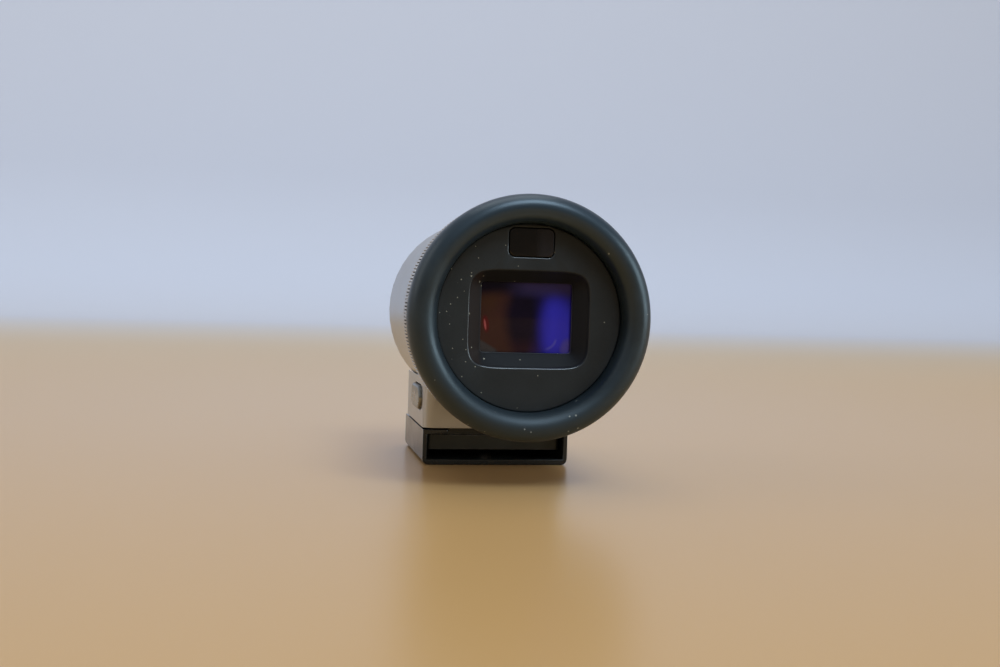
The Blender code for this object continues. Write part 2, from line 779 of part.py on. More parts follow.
def make_chassis():
    """Inner tube: carries the eyepiece, guides the lens cell and holds the display."""
    front_y = ring_rear_y + CHASSIS_LENGTH
    shoulder_y = ring_rear_y + SHOULDER_PLACE
    ledge_y = ring_rear_y + LEDGE_PLACE
    profile = [
        (chassis_bore, ring_rear_y),
        (chassis_radius, ring_rear_y),
        (chassis_radius, shoulder_y),
        (sleeve_radius, shoulder_y),
        (sleeve_radius, shoulder_y + SHOULDER_WIDTH),
        (chassis_radius, shoulder_y + SHOULDER_WIDTH),
        (chassis_radius, front_y),
        (chassis_bore, front_y),
        (chassis_bore, ledge_y + LEDGE_WIDTH),
        (chassis_bore - LEDGE_REACH, ledge_y + LEDGE_WIDTH),
        (chassis_bore - LEDGE_REACH, ledge_y),
        (chassis_bore, ledge_y),
    ]
    chassis = turned("chassis_tube", profile, dark_plastic)
    pad_low = axis_z - chassis_radius - PAD_DROP
    pad = box(
        "screw_pad",
        (-PAD_WIDTH / 2, front_y - PAD_LENGTH, pad_low),
        (PAD_WIDTH / 2, front_y - TIE, axis_z - chassis_bore + CHASSIS_WALL / 2),
    )
    middle = (0, 0, axis_z)
    cut(pad, rod("pad_bore", chassis_bore, ring_rear_y, front_y + OVERRUN, "Y", middle, None, ROUND_STEPS))
    join(chassis, pad)
    for side in (-1, 1):
        centre = (side * (chassis_bore - PILLAR_RADIUS + TIE), 0, axis_z)
        join(chassis, rod("pillar", PILLAR_RADIUS, front_y - PILLAR_LENGTH, front_y - TIE, "Y", centre))
    for side in (-1, 1):
        centre = (side * (chassis_bore - PILLAR_RADIUS + TIE), 0, axis_z)
        small_hole(chassis, "pillar_pilot", centre, front_y - SMALL_SCREW_LENGTH, front_y + OVERRUN)
        hole_radius = BODY_SCREW_RADIUS + CLOSE
        centre = (side * BODY_SCREW_X, body_screw_y, 0)
        cut(chassis, rod("pad_pilot", hole_radius, pad_low - OVERRUN, body_tip_z + CLOSE, "Z", centre))
        half = GUIDE_PIN_RADIUS + SLIDE
        low = guide_pin_y + LENS_TRAVEL_PER_RADIAN * TURN_LOW - half
        high = guide_pin_y + LENS_TRAVEL_PER_RADIAN * TURN_HIGH + half
        near, far = sorted((side * (chassis_bore - OVERRUN), side * (chassis_radius + OVERRUN)))
        cut(chassis, box("guide_slot", (near, low, axis_z - half), (far, high, axis_z + half)))
    groove_half = SENSOR_FLEX_WIDTH / 2 + SEAT
    groove_low = axis_z + chassis_bore - FLEX_ROOM
    groove_top = axis_z + sqrt(chassis_bore**2 - groove_half**2)
    cut(
        chassis,
        box(
            "flex_groove",
            (-groove_half, ledge_y - OVERRUN, groove_low),
            (groove_half, ledge_y + LEDGE_WIDTH + OVERRUN, groove_top),
        ),
    )
    return front_y, ledge_y + LEDGE_WIDTH


def lens(name, edge_y, edge, rear_sag, front_sag):
    """Lens with a straight edge. A positive sag bulges and a negative one is hollow."""

    def surface(y, sag, outwards):
        points = []
        for i in range(LENS_STEPS + 1):
            share = i / LENS_STEPS
            points.append((lens_radius * share, y + outwards * sag * (1 - share * share)))
        return points

    rear = surface(edge_y, rear_sag, -1)
    front = surface(edge_y + edge, front_sag, 1)
    turned(name, rear + front[::-1], lens_glass)


def make_lens_cell():
    """Sliding cell with three lenses, a spacer, a retaining ring and two guide pins."""
    front_y = carrier_y + CARRIER_LENGTH
    profile = [
        (carrier_bore - CARRIER_LIP_REACH, carrier_y),
        (carrier_radius, carrier_y),
        (carrier_radius, front_y),
        (carrier_bore, front_y),
        (carrier_bore, carrier_y + CARRIER_LIP),
        (carrier_bore - CARRIER_LIP_REACH, carrier_y + CARRIER_LIP),
    ]
    carrier = turned("lens_carrier", profile, dark_plastic)
    flat_z = axis_z + chassis_bore - FLEX_ROOM
    cut(
        carrier,
        box(
            "carrier_flat",
            (-carrier_radius, carrier_y - OVERRUN, flat_z),
            (carrier_radius, front_y + OVERRUN, flat_z + carrier_radius),
        ),
    )
    for side, word in ((-1, "left"), (1, "right")):
        centre = (0, guide_pin_y, axis_z)
        near, far = sorted((side * (carrier_bore - OVERRUN), side * (carrier_radius + OVERRUN)))
        cut(carrier, rod("pin_hole", GUIDE_PIN_RADIUS + CLOSE, near, far, "X", centre, None, PIN_STEPS))
        near, far = sorted((side * (carrier_bore + CLOSE), side * (sleeve_radius - CLOSE)))
        rod("guide_pin_" + word, GUIDE_PIN_RADIUS, near, far, "X", centre, steel, PIN_STEPS)
    y = carrier_y + CARRIER_LIP + SEAT
    lens("rear_lens", y, REAR_LENS_EDGE, REAR_LENS_SAG, REAR_LENS_SAG)
    y += REAR_LENS_EDGE + SEAT
    rim_ring("lens_spacer", y, SPACER_WIDTH)
    y += SPACER_WIDTH + SEAT
    lens("middle_lens", y, MIDDLE_LENS_EDGE, -MIDDLE_LENS_SAG, -MIDDLE_LENS_SAG)
    y += MIDDLE_LENS_EDGE + SEAT
    lens("front_lens", y, FRONT_LENS_EDGE, FRONT_LENS_REAR_SAG, FRONT_LENS_SAG)
    y += FRONT_LENS_EDGE + SEAT
    rim_ring("lens_retainer", y, RETAINER_WIDTH)


def rim_ring(name, y, width):
    """Plain ring of the lenses' size."""
    inner = lens_radius - RIM_RING_WALL
    profile = [(inner, y), (lens_radius, y), (lens_radius, y + width), (inner, y + width)]
    turned(name, profile, dark_plastic)


def make_display(front_y, seat_y):
    """Mask, foam, panel and light box, pressed into the inner tube by a screwed bracket."""
    flat_z = axis_z + chassis_bore - FLEX_ROOM
    mask_y = seat_y + SEAT
    mask_end = mask_y + MASK_THICKNESS
    gasket_y = mask_end + SLIDE
    panel_y = gasket_y + GASKET_THICKNESS + SEAT
    light_y = panel_y + PANEL_THICKNESS + SLIDE
    light_end = light_y + BACKLIGHT_THICKNESS
    middle = (0, 0, axis_z)
    mask = rod("display_mask", spigot_radius, mask_y, mask_end, "Y", middle, dark_plastic, ROUND_STEPS)
    opening = box(
        "mask_opening",
        (-MASK_WIDTH / 2, mask_y - OVERRUN, axis_z - MASK_HEIGHT / 2),
        (MASK_WIDTH / 2, mask_end + OVERRUN, axis_z + MASK_HEIGHT / 2),
    )
    top = box(
        "mask_flat",
        (-spigot_radius, mask_y - OVERRUN, flat_z),
        (spigot_radius, mask_end + OVERRUN, flat_z + spigot_radius),
    )
    cut(mask, opening, top)
    half_x, half_z = PANEL_WIDTH / 2, PANEL_HEIGHT / 2
    gasket = box(
        "display_gasket",
        (-half_x, gasket_y, axis_z - half_z),
        (half_x, gasket_y + GASKET_THICKNESS, axis_z + half_z),
        foam,
    )
    gasket_hole = box(
        "gasket_opening",
        (-MASK_WIDTH / 2, gasket_y - OVERRUN, axis_z - MASK_HEIGHT / 2),
        (MASK_WIDTH / 2, gasket_y + GASKET_THICKNESS + OVERRUN, axis_z + MASK_HEIGHT / 2),
    )
    cut(gasket, gasket_hole)
    box(
        "display_panel",
        (-half_x, panel_y, axis_z - half_z),
        (half_x, panel_y + PANEL_THICKNESS, axis_z + half_z),
        lens_glass,
    )
    box(
        "backlight_unit",
        (-half_x, light_y, axis_z - half_z),
        (half_x, light_end, axis_z + half_z),
        light_box,
    )

    bracket_y = front_y + SEAT
    bracket_end = bracket_y + BRACKET_THICKNESS
    radius = chassis_radius - SEAT
    bracket = rod("display_bracket", radius, bracket_y, bracket_end, "Y", middle, dark_plastic, ROUND_STEPS)
    pad = box(
        "bracket_pad",
        (-BRACKET_PAD_WIDTH / 2, light_end + SLIDE, axis_z - BRACKET_PAD_HEIGHT / 2),
        (BRACKET_PAD_WIDTH / 2, bracket_y + TIE, axis_z + BRACKET_PAD_HEIGHT / 2),
    )
    join(bracket, pad)
    stand_end = bracket_end + STANDOFF_LENGTH
    for side in (-1, 1):
        centre = (side * STANDOFF_X, 0, axis_z - side * STANDOFF_Z)
        join(bracket, rod("standoff", STANDOFF_RADIUS, bracket_end - TIE, stand_end, "Y", centre))
    low_flat = axis_z - chassis_bore + FLEX_ROOM
    cut(
        bracket,
        box(
            "bracket_low_flat",
            (-radius, bracket_y - OVERRUN, low_flat - radius),
            (radius, bracket_end + OVERRUN, low_flat),
        ),
        box(
            "bracket_high_flat",
            (-radius, bracket_y - OVERRUN, flat_z),
            (radius, bracket_end + OVERRUN, flat_z + radius),
        ),
        box(
            "flex_slot",
            (-DISPLAY_FLEX_WIDTH / 2 - SEAT, bracket_y - OVERRUN, axis_z + display_flex_z - SEAT),
            (DISPLAY_FLEX_WIDTH / 2 + SEAT, bracket_end + OVERRUN, axis_z + display_flex_z + SEAT),
        ),
    )
    for side, word in ((-1, "left"), (1, "right")):
        centre = (side * (chassis_bore - PILLAR_RADIUS + TIE), 0, axis_z)
        small_hole(bracket, "screw_hole", centre, bracket_y - OVERRUN, bracket_end + OVERRUN)
        small_screw("bracket_screw_" + word, centre, bracket_end + CLOSE)
        centre = (side * STANDOFF_X, 0, axis_z - side * STANDOFF_Z)
        small_hole(bracket, "standoff_pilot", centre, stand_end - SMALL_SCREW_LENGTH, stand_end + OVERRUN)
    return panel_y, stand_end


def make_board(stand_end):
    """Round main board with its chips, the connector's socket and two screws."""
    board_y = stand_end + SEAT
    board_end = board_y + BOARD_THICKNESS
    board = rod("main_board", BOARD_RADIUS, board_y, board_end, "Y", (0, 0, axis_z), board_green, ROUND_STEPS)
    for side in (-1, 1):
        low, high = sorted((axis_z + side * BOARD_FLAT, axis_z + side * (BOARD_RADIUS + OVERRUN)))
        near, far = (-BOARD_RADIUS, board_y - OVERRUN, low), (BOARD_RADIUS, board_end + OVERRUN, high)
        cut(board, box("board_flat", near, far))
    for side, word in ((-1, "left"), (1, "right")):
        centre = (side * STANDOFF_X, 0, axis_z - side * STANDOFF_Z)
        small_hole(board, "board_hole", centre, board_y - OVERRUN, board_end + OVERRUN)
        small_screw("board_screw_" + word, centre, board_end + CLOSE)
    chip_y = board_end + CHIP_GAP
    half = PROCESSOR_SIDE / 2
    middle = axis_z + PROCESSOR_RAISE
    box(
        "processor_chip",
        (-half, chip_y, middle - half),
        (half, chip_y + PROCESSOR_HEIGHT, middle + half),
        chip_black,
    )
    memory_low_x = half + SEAT + CHIP_GAP
    box(
        "memory_chip",
        (memory_low_x, chip_y, middle - MEMORY_LENGTH / 2 + half / 2),
        (memory_low_x + MEMORY_WIDTH, chip_y + MEMORY_HEIGHT, middle + MEMORY_LENGTH / 2 + half / 2),
        chip_black,
    )
    socket_z = axis_z - CONNECTOR_SOCKET_DROP
    box(
        "flex_socket",
        (-CONNECTOR_SOCKET_WIDTH / 2, chip_y, socket_z - CONNECTOR_SOCKET_HEIGHT / 2),
        (CONNECTOR_SOCKET_WIDTH / 2, chip_y + CONNECTOR_SOCKET_DEPTH, socket_z + CONNECTOR_SOCKET_HEIGHT / 2),
        light_box,
    )
    return board_y, chip_y + CONNECTOR_SOCKET_DEPTH


def make_flexes(sensor_y, panel_y, board_y, socket_y):
    """Three flexible circuits: sensor to board, display to board, board to the foot's connector."""
    top_z = chassis_bore - FLEX_ROOM / 2
    cell_z = (cell_low_z + cell_high_z) / 2 - axis_z
    sensor_end = board_y - SEAT
    lens_room = -TURN_LOW * LENS_TRAVEL_PER_RADIAN
    ribbon(
        "sensor_flex",
        SENSOR_FLEX_WIDTH,
        [
            (sensor_y + SLIDE, cell_z - MODULE_HEIGHT / 2),
            (sensor_y + SLIDE + SEAT, cell_z),
            (skirt_y + SPIGOT_LENGTH, cell_z + SEAT),
            (carrier_y - lens_room - SEAT, top_z - SEAT),
            (carrier_y - lens_room + SEAT, top_z),
            (panel_y, top_z),
            (sensor_end - STANDOFF_LENGTH / 2, top_z - SEAT),
            (sensor_end, BOARD_FLAT - SEAT),
        ],
        flex_amber,
    )
    panel_low = -PANEL_HEIGHT / 2 - SEAT
    ribbon(
        "display_flex",
        DISPLAY_FLEX_WIDTH,
        [
            (panel_y + PANEL_THICKNESS / 2, panel_low),
            (panel_y + PANEL_THICKNESS, display_flex_z),
            (panel_y + PANEL_THICKNESS + BACKLIGHT_THICKNESS, display_flex_z),
            (board_y - STANDOFF_LENGTH / 2, display_flex_z),
            (board_y - SEAT, display_flex_z + SEAT),
        ],
        flex_amber,
    )
    plug_top = foot_high_z + SHOE_GAP - axis_z
    ribbon(
        "main_flex",
        MAIN_FLEX_WIDTH,
        [
            (socket_y + CLOSE, -CONNECTOR_SOCKET_DROP + CONNECTOR_SOCKET_HEIGHT / 2),
            (socket_y + SEAT, -CONNECTOR_SOCKET_DROP - CONNECTOR_SOCKET_HEIGHT / 2),
            (main_flex_y, -BOARD_FLAT),
            (main_flex_y, -barrel_bore),
            (main_flex_y, plug_top + SLIDE),
        ],
        flex_amber,
    )


def make_barrel():
    """Outer tube with a rounded nose, an inner lip for the cap and openings underneath."""
    nose = arc(
        (BARREL_RADIUS - BARREL_NOSE, barrel_front_y - BARREL_NOSE),
        (BARREL_NOSE, BARREL_NOSE),
        pi / 2,
        0,
        NOSE_STEPS,
    )
    profile = [(nose_bore, barrel_front_y)] + nose
    profile += [
        (BARREL_RADIUS, barrel_rear_y + BARREL_CHAMFER),
        (BARREL_RADIUS - BARREL_CHAMFER, barrel_rear_y),
        (barrel_bore, barrel_rear_y),
        (barrel_bore, barrel_front_y - NOSE_LIP),
        (nose_bore, barrel_front_y - NOSE_LIP),
    ]
    barrel = turned("barrel_shell", profile, silver, WIDE_STEPS)
    opening = box(
        "barrel_opening",
        (-BARREL_OPENING_WIDTH / 2, pin_y - collar_radius - SEAT, base_low_z),
        (BARREL_OPENING_WIDTH / 2, cavity_front_y, axis_z - barrel_bore / 2),
    )
    cut(barrel, opening)
    for side in (-1, 1):
        centre = (side * BODY_SCREW_X, body_screw_y, 0)
        top = axis_z - chassis_radius
        cut(barrel, rod("barrel_screw_hole", BODY_SCREW_RADIUS + SLIDE, base_low_z, top, "Z", centre))


def make_front_cap():
    """Cap that closes the barrel in front, behind the barrel's inner lip."""
    face_y = barrel_front_y - CAP_SINK
    lip_y = barrel_front_y - NOSE_LIP - SEAT
    back_y = face_y - CAP_THICKNESS - SEAT
    end_y = back_y - CAP_SKIRT
    face_radius = nose_bore - SEAT
    skirt_radius = barrel_bore - SEAT
    profile = [
        (0, face_y),
        (face_radius - BARREL_CHAMFER, face_y),
        (face_radius, face_y - BARREL_CHAMFER),
        (face_radius, lip_y),
        (skirt_radius, lip_y),
        (skirt_radius, end_y),
        (skirt_radius - CAP_SKIRT_WALL, end_y),
        (skirt_radius - CAP_SKIRT_WALL, back_y),
        (0, back_y),
    ]
    turned("front_cap", profile, silver, WIDE_STEPS)


def make_base():
    """Block under the barrel: a saddle on top, and a hollow for the lock and the flexible circuit."""
    half = base_width / 2
    top_z = axis_z - sqrt(saddle_radius**2 - half**2) + OVERRUN
    base = box(
        "base_block",
        (-half, base_rear_y, base_low_z),
        (half, base_front_y, top_z),
        silver,
        along="Z",
        radius=BASE_CORNER,
    )
    saddle = rod(
        "saddle",
        saddle_radius,
        base_rear_y - OVERRUN,
        base_front_y + OVERRUN,
        "Y",
        (0, 0, axis_z),
        None,
        WIDE_STEPS,
    )
    inner = half - BASE_WALL
    cavity = box("cavity", (-inner, cavity_rear_y, floor_z), (inner, cavity_front_y, cavity_high_z))
    pocket = box(
        "button_pocket",
        (-inner, button_y - pocket_half_y, floor_z),
        (-inner + BUTTON_POCKET_DEPTH, button_y + pocket_half_y, cavity_high_z),
    )
    button_hole = box(
        "button_hole",
        (wall_x - OVERRUN, button_y - BUTTON_LENGTH / 2 - CLOSE, button_z - BUTTON_HEIGHT / 2 - CLOSE),
        (wall_inside_x + OVERRUN, button_y + BUTTON_LENGTH / 2 + CLOSE, button_z + BUTTON_HEIGHT / 2 + CLOSE),
        along="X",
        radius=(BUTTON_HEIGHT / 2 + CLOSE) * PILL_SHARE,
    )
    flex_half = MAIN_FLEX_WIDTH / 2 + SEAT
    flex_slot = box(
        "floor_slot",
        (-flex_half, cavity_front_y - FLEX_ROOM, base_low_z - OVERRUN),
        (flex_half, cavity_front_y, floor_z + OVERRUN),
    )
    pin_hole = rod(
        "floor_pin_hole",
        LOCK_PIN_RADIUS + 2 * SEAT,
        base_low_z - OVERRUN,
        floor_z + OVERRUN,
        "Z",
        (0, pin_y, 0),
    )
    cut(base, saddle, cavity, pocket, button_hole, flex_slot, pin_hole)
    for x, y in foot_screw_places:
        shaft = FOOT_SCREW_RADIUS + CLOSE
        cut(base, rod("foot_screw_hole", shaft, base_low_z - OVERRUN, foot_tip_z + CLOSE, "Z", (x, y, 0)))
    for side, word in ((-1, "left"), (1, "right")):
        centre = (side * BODY_SCREW_X, body_screw_y, 0)
        bore_top = base_low_z + SLIDE + BODY_HEAD_HEIGHT + CLOSE
        cut(
            base,
            rod("body_bore", BODY_HEAD_RADIUS + CLOSE, base_low_z - OVERRUN, bore_top, "Z", centre),
            rod("body_hole", BODY_SCREW_RADIUS + CLOSE, bore_top - TIE, axis_z, "Z", centre),
        )
        machine_screw(
            "body_screw_" + word,
            centre,
            "Z",
            base_low_z + SLIDE / 2 + BODY_HEAD_HEIGHT,
            body_tip_z,
            BODY_HEAD_HEIGHT,
            BODY_HEAD_RADIUS,
            BODY_SCREW_RADIUS,
        )


def make_foot():
    """Foot plate with its neck, four countersunk screws, the connector block and its contacts."""
    half = FOOT_WIDTH / 2
    foot = box(
        "foot_plate",
        (-half, foot_rear_y, foot_low_z),
        (half, foot_front_y, foot_high_z),
        foot_metal,
        along="Z",
        radius=FOOT_CORNER,
        steps=2,
    )
    neck = box(
        "neck",
        (-NECK_WIDTH / 2, foot_rear_y + NECK_INSET, foot_high_z - TIE),
        (NECK_WIDTH / 2, foot_front_y - NECK_INSET, neck_high_z),
    )
    join(foot, neck)
    plug_half = PLUG_WIDTH / 2
    plug_rear = foot_front_y - PLUG_INSET - PLUG_LENGTH
    notch = box(
        "plug_notch",
        (-plug_half - SEAT, plug_rear - SEAT, foot_low_z - OVERRUN),
        (plug_half + SEAT, foot_front_y + OVERRUN, neck_high_z + OVERRUN),
    )
    pin_hole = rod(
        "foot_pin_hole",
        LOCK_PIN_RADIUS + CLOSE,
        foot_low_z - OVERRUN,
        neck_high_z + OVERRUN,
        "Z",
        (0, pin_y, 0),
    )
    cut(foot, notch, pin_hole)
    for number, (x, y) in enumerate(foot_screw_places, start=1):
        centre = (x, y, 0)
        low = foot_low_z + CLOSE / 2
        high = low + FOOT_HEAD_HEIGHT
        shank = FOOT_SCREW_RADIUS + CLOSE
        sink = FOOT_HEAD_RADIUS + CLOSE
        cut(
            foot,
            rod("sink", sink, foot_low_z - OVERRUN, low, "Z", centre),
            rod("sink_cone", sink, low - TIE / 2, high + CLOSE, "Z", centre, None, SMALL_STEPS, shank),
            rod("shank_hole", shank, low, neck_high_z + OVERRUN, "Z", centre),
        )
        head = rod(
            f"foot_screw_{number}",
            FOOT_HEAD_RADIUS,
            low,
            high,
            "Z",
            centre,
            steel,
            SMALL_STEPS,
            FOOT_SCREW_RADIUS,
        )
        join(head, rod("foot_shank", FOOT_SCREW_RADIUS - TIE / 4, low + TIE, foot_tip_z, "Z", centre))
        drive_low, drive_high = low - OVERRUN, low + DRIVE_DEPTH
        cut(head, rod("foot_drive", DRIVE_WIDTH / 2, drive_low, drive_high, "Z", centre, None, HEX_STEPS))

    plug_low = foot_low_z + PLUG_SINK
    plug = box(
        "connector_block",
        (-plug_half, plug_rear, plug_low),
        (plug_half, plug_rear + PLUG_LENGTH, neck_high_z),
        dark_plastic,
    )
    bar_y = plug_rear + SEAT
    comb_low = plug_low + CLOSE / 2
    comb_high = comb_low + CONTACT_THICKNESS
    span = CONTACT_PITCH * (CONTACT_COUNT - 1) + CONTACT_WIDTH
    comb = box(
        "contact_comb",
        (-span / 2, bar_y + CLOSE, comb_low),
        (span / 2, bar_y + CLOSE + CONTACT_BAR, comb_high),
        gold,
    )
    cut(
        plug,
        box(
            "comb_pocket",
            (-span / 2 - CLOSE, bar_y, plug_low - OVERRUN),
            (span / 2 + CLOSE, bar_y + CLOSE + CONTACT_BAR + CLOSE, comb_high + CLOSE),
        ),
    )
    for i in range(CONTACT_COUNT):
        x = CONTACT_PITCH * (i - (CONTACT_COUNT - 1) / 2)
        half_width = CONTACT_WIDTH / 2
        finger_rear = bar_y + CLOSE + CONTACT_BAR - TIE
        finger_front = finger_rear + CONTACT_LENGTH
        low, high = (x - half_width, finger_rear, comb_low), (x + half_width, finger_front, comb_high)
        join(comb, box("contact", low, high))
        wide = half_width + CLOSE
        cut(
            plug,
            box(
                "contact_slot",
                (x - wide, finger_rear - TIE, plug_low - OVERRUN),
                (x + wide, finger_front + CLOSE, comb_high + CLOSE),
            ),
        )


def make_lock():
    """Release button, slide, cone-headed lock pin, their two springs and the pin's bracket."""
    cap_out = wall_x - BUTTON_PROUD
    half_y, half_z = BUTTON_LENGTH / 2, BUTTON_HEIGHT / 2
    button = box(
        "release_button",
        (cap_out, button_y - half_y, button_z - half_z),
        (cap_out + BUTTON_CAP, button_y + half_y, button_z + half_z),
        silver,
        along="X",
        radius=half_z * PILL_SHARE,
        steps=6,
    )
    edge = button.modifiers.new("edge", "BEVEL")
    edge.width = BUTTON_EDGE
    edge.segments = 2
    edge.limit_method = "ANGLE"
    edge.angle_limit = radians(60)
    stem_x = cap_out + BUTTON_CAP
    stem_z = button_z - half_z + SEAT
    stem = box(
        "stem",
        (stem_x - TIE, button_y - STEM_LENGTH / 2, stem_z),
        (flange_x + TIE, button_y + STEM_LENGTH / 2, stem_z + STEM_HEIGHT),
    )
    flange_low = slide_low_z
    flange_high = button_z + half_z - FLANGE_TOP_CUT
    flange = box(
        "flange",
        (flange_x, button_y - half_y - FLANGE_SPARE, flange_low),
        (flange_x + FLANGE_THICKNESS, button_y + half_y + FLANGE_SPARE, flange_high),
    )
    join(button, stem, flange)

    plate_rear = cavity_rear_y + SEAT
    plate_front = plate_rear + SLIDE_PLATE_LENGTH
    slide = box(
        "lock_slide",
        (tab_x, plate_rear, slide_low_z),
        (SLIDE_RIGHT_REACH, plate_front, slide_high_z),
        steel,
    )
    spring_y = (plate_rear + plate_front) / 2
    left_tab = box(
        "left_tab",
        (tab_x, plate_rear, slide_high_z - TIE),
        (tab_x + SLIDE_TAB, min(plate_front, button_y + half_y), slide_low_z + SLIDE_LEFT_TAB_HEIGHT),
    )
    right_tab = box(
        "right_tab",
        (SLIDE_RIGHT_REACH - SLIDE_TAB, spring_y - SLIDE_RIGHT_TAB_LENGTH / 2, slide_high_z - TIE),
        (
            SLIDE_RIGHT_REACH,
            spring_y + SLIDE_RIGHT_TAB_LENGTH / 2,
            slide_low_z + SLIDE_RIGHT_TAB_HEIGHT,
        ),
    )
    join(slide, left_tab, right_tab)
    cut(
        slide,
        rod(
            "slide_hole",
            slide_hole_radius,
            slide_low_z - OVERRUN,
            slide_high_z + OVERRUN,
            "Z",
            (0, pin_y, 0),
            None,
            ROUND_STEPS,
        ),
    )

    tip_z = foot_low_z - LOCK_PIN_PROUD
    profile = [
        (0, stem_top_z),
        (LOCK_STEM_RADIUS, stem_top_z),
        (LOCK_STEM_RADIUS, collar_z),
        (collar_radius, collar_z),
        (collar_radius, collar_z - LOCK_COLLAR),
        (LOCK_PIN_RADIUS, cone_low_z),
        (LOCK_PIN_RADIUS, tip_z + PIN_TIP_CHAMFER),
        (LOCK_PIN_RADIUS - PIN_TIP_CHAMFER, tip_z),
        (0, tip_z),
    ]
    turned("lock_pin", profile, steel, SMALL_STEPS, "Z", (0, pin_y, 0))
    coil(
        "pin_spring",
        (0, pin_y, collar_z + CLOSE),
        (0, 0, 1),
        PIN_SPRING_LENGTH - 2 * CLOSE,
        PIN_SPRING_RADIUS,
        (1, 0, 0),
    )
    spring_start = SLIDE_RIGHT_REACH + CLOSE
    spring_end = base_width / 2 - BASE_WALL - CLOSE
    coil(
        "button_spring",
        (spring_start, spring_y, slide_low_z + SPRING_WIRE + BUTTON_SPRING_RADIUS),
        (1, 0, 0),
        spring_end - spring_start,
        BUTTON_SPRING_RADIUS,
        (0, 1, 0),
    )

    half = SPRING_BRACKET_WIDTH / 2
    leg_y = plate_front + SEAT
    top_low = collar_z + PIN_SPRING_LENGTH
    top_high = top_low + SPRING_BRACKET_THICKNESS
    bracket = box(
        "spring_bracket",
        (-half, pin_y - SPRING_BRACKET_OVERHANG, top_low),
        (half, leg_y + SPRING_BRACKET_THICKNESS, top_high),
        steel,
    )
    leg = box(
        "bracket_leg",
        (-half, leg_y, slide_low_z),
        (half, leg_y + SPRING_BRACKET_THICKNESS, top_low + TIE),
    )
    foot = box(
        "bracket_foot",
        (-half, leg_y + SPRING_BRACKET_THICKNESS - TIE, slide_low_z),
        (
            half,
            leg_y + SPRING_BRACKET_THICKNESS + SPRING_BRACKET_FOOT,
            slide_low_z + SPRING_BRACKET_THICKNESS,
        ),
    )
    join(bracket, leg, foot)
    guide = rod(
        "guide_hole",
        LOCK_STEM_RADIUS + CLOSE,
        top_low - OVERRUN,
        top_high + OVERRUN,
        "Z",
        (0, pin_y, 0),
    )
    cut(bracket, guide)


def make_cover():
    """Slide-on cover: a channel round the foot's rails, closed at the front and open at the rear."""
    inner_x = FOOT_WIDTH / 2 + CLOSE
    outer_x = inner_x + COVER_WALL
    top_z = base_low_z - SLIDE
    cover = box(
        "foot_cover",
        (-outer_x, cover_rear_y, 0),
        (outer_x, cover_front_y, top_z),
        cover_plastic,
        along="Y",
        radius=COVER_CORNER,
        pick=lambda middle: middle.z < 0,
    )
    inner_front = cover_front_y - COVER_FRONT
    channel = box(
        "channel",
        (-inner_x, cover_rear_y - OVERRUN, COVER_FLOOR),
        (inner_x, inner_front, foot_high_z + SLIDE),
    )
    lip_x = NECK_WIDTH / 2 + COVER_LIP_GAP
    slit = box(
        "slit",
        (-lip_x, cover_rear_y - OVERRUN, foot_high_z),
        (lip_x, inner_front, top_z + OVERRUN),
    )
    cut(cover, channel, slit)


# Places that several pieces share
PILL_SHARE = 0.98
window_half_x = APERTURE_WIDTH / 2 + WINDOW_OVERLAP
window_half_z = APERTURE_HEIGHT / 2 + WINDOW_OVERLAP
sensor_reach = sqrt((plate_radius - SENSOR_CORNER) ** 2 - (SENSOR_WIDTH / 2 - SENSOR_CORNER) ** 2)
sensor_high_z = axis_z + sensor_reach + SENSOR_CORNER - SENSOR_MARGIN
sensor_low_z = sensor_high_z - SENSOR_HEIGHT
cell_half_x = MODULE_WIDTH / 2 + SEAT
cell_reach = sqrt((spigot_radius - SENSOR_CELL_WALL) ** 2 - cell_half_x**2)
cell_high_z = axis_z + cell_reach
cell_low_z = cell_high_z - MODULE_HEIGHT - 2 * SEAT
carrier_y = ring_rear_y + CARRIER_REAR
guide_pin_y = carrier_y + GUIDE_PIN_PLACE
display_flex_z = -PANEL_HEIGHT / 2 - 4 * SEAT
foot_tip_z = base_low_z + FOOT_SCREW_REACH
body_screw_y = base_rear_y + BODY_SCREW_PLACE
body_tip_z = axis_z - (chassis_radius + chassis_bore) / 2
foot_screw_places = [
    (-FOOT_SCREW_X, foot_rear_y + FOOT_SCREW_REAR),
    (FOOT_SCREW_X, foot_rear_y + FOOT_SCREW_REAR),
    (-FOOT_SCREW_X, foot_front_y - FOOT_SCREW_FRONT),
    (FOOT_SCREW_X, foot_front_y - FOOT_SCREW_FRONT),
]
pocket_half_y = BUTTON_LENGTH / 2 + FLANGE_SPARE + BUTTON_POCKET_SPARE
cone_low_z = slide_high_z - BUTTON_TRAVEL - LOCK_CONE_SPARE
collar_radius = LOCK_PIN_RADIUS + LOCK_CONE_REACH
collar_z = cone_low_z + LOCK_CONE_REACH + LOCK_COLLAR
stem_top_z = collar_z + PIN_SPRING_LENGTH + SPRING_BRACKET_THICKNESS + CLOSE
slide_hole_radius = LOCK_PIN_RADIUS + BUTTON_TRAVEL + LOCK_CONE_SPARE + CLOSE

make_eyecup()
make_eyepiece_plate()
make_windows()
sensor_back_y = make_sensor()
sleeve_end_y = make_diopter_ring()
make_washer(sleeve_end_y)
chassis_front_y, display_seat_y = make_chassis()
make_lens_cell()
display_panel_y, standoff_end_y = make_display(chassis_front_y, display_seat_y)
main_board_y, socket_front_y = make_board(standoff_end_y)
make_flexes(sensor_back_y, display_panel_y, main_board_y, socket_front_y)
make_barrel()
make_front_cap()
make_base()
make_foot()
make_lock()
make_cover()
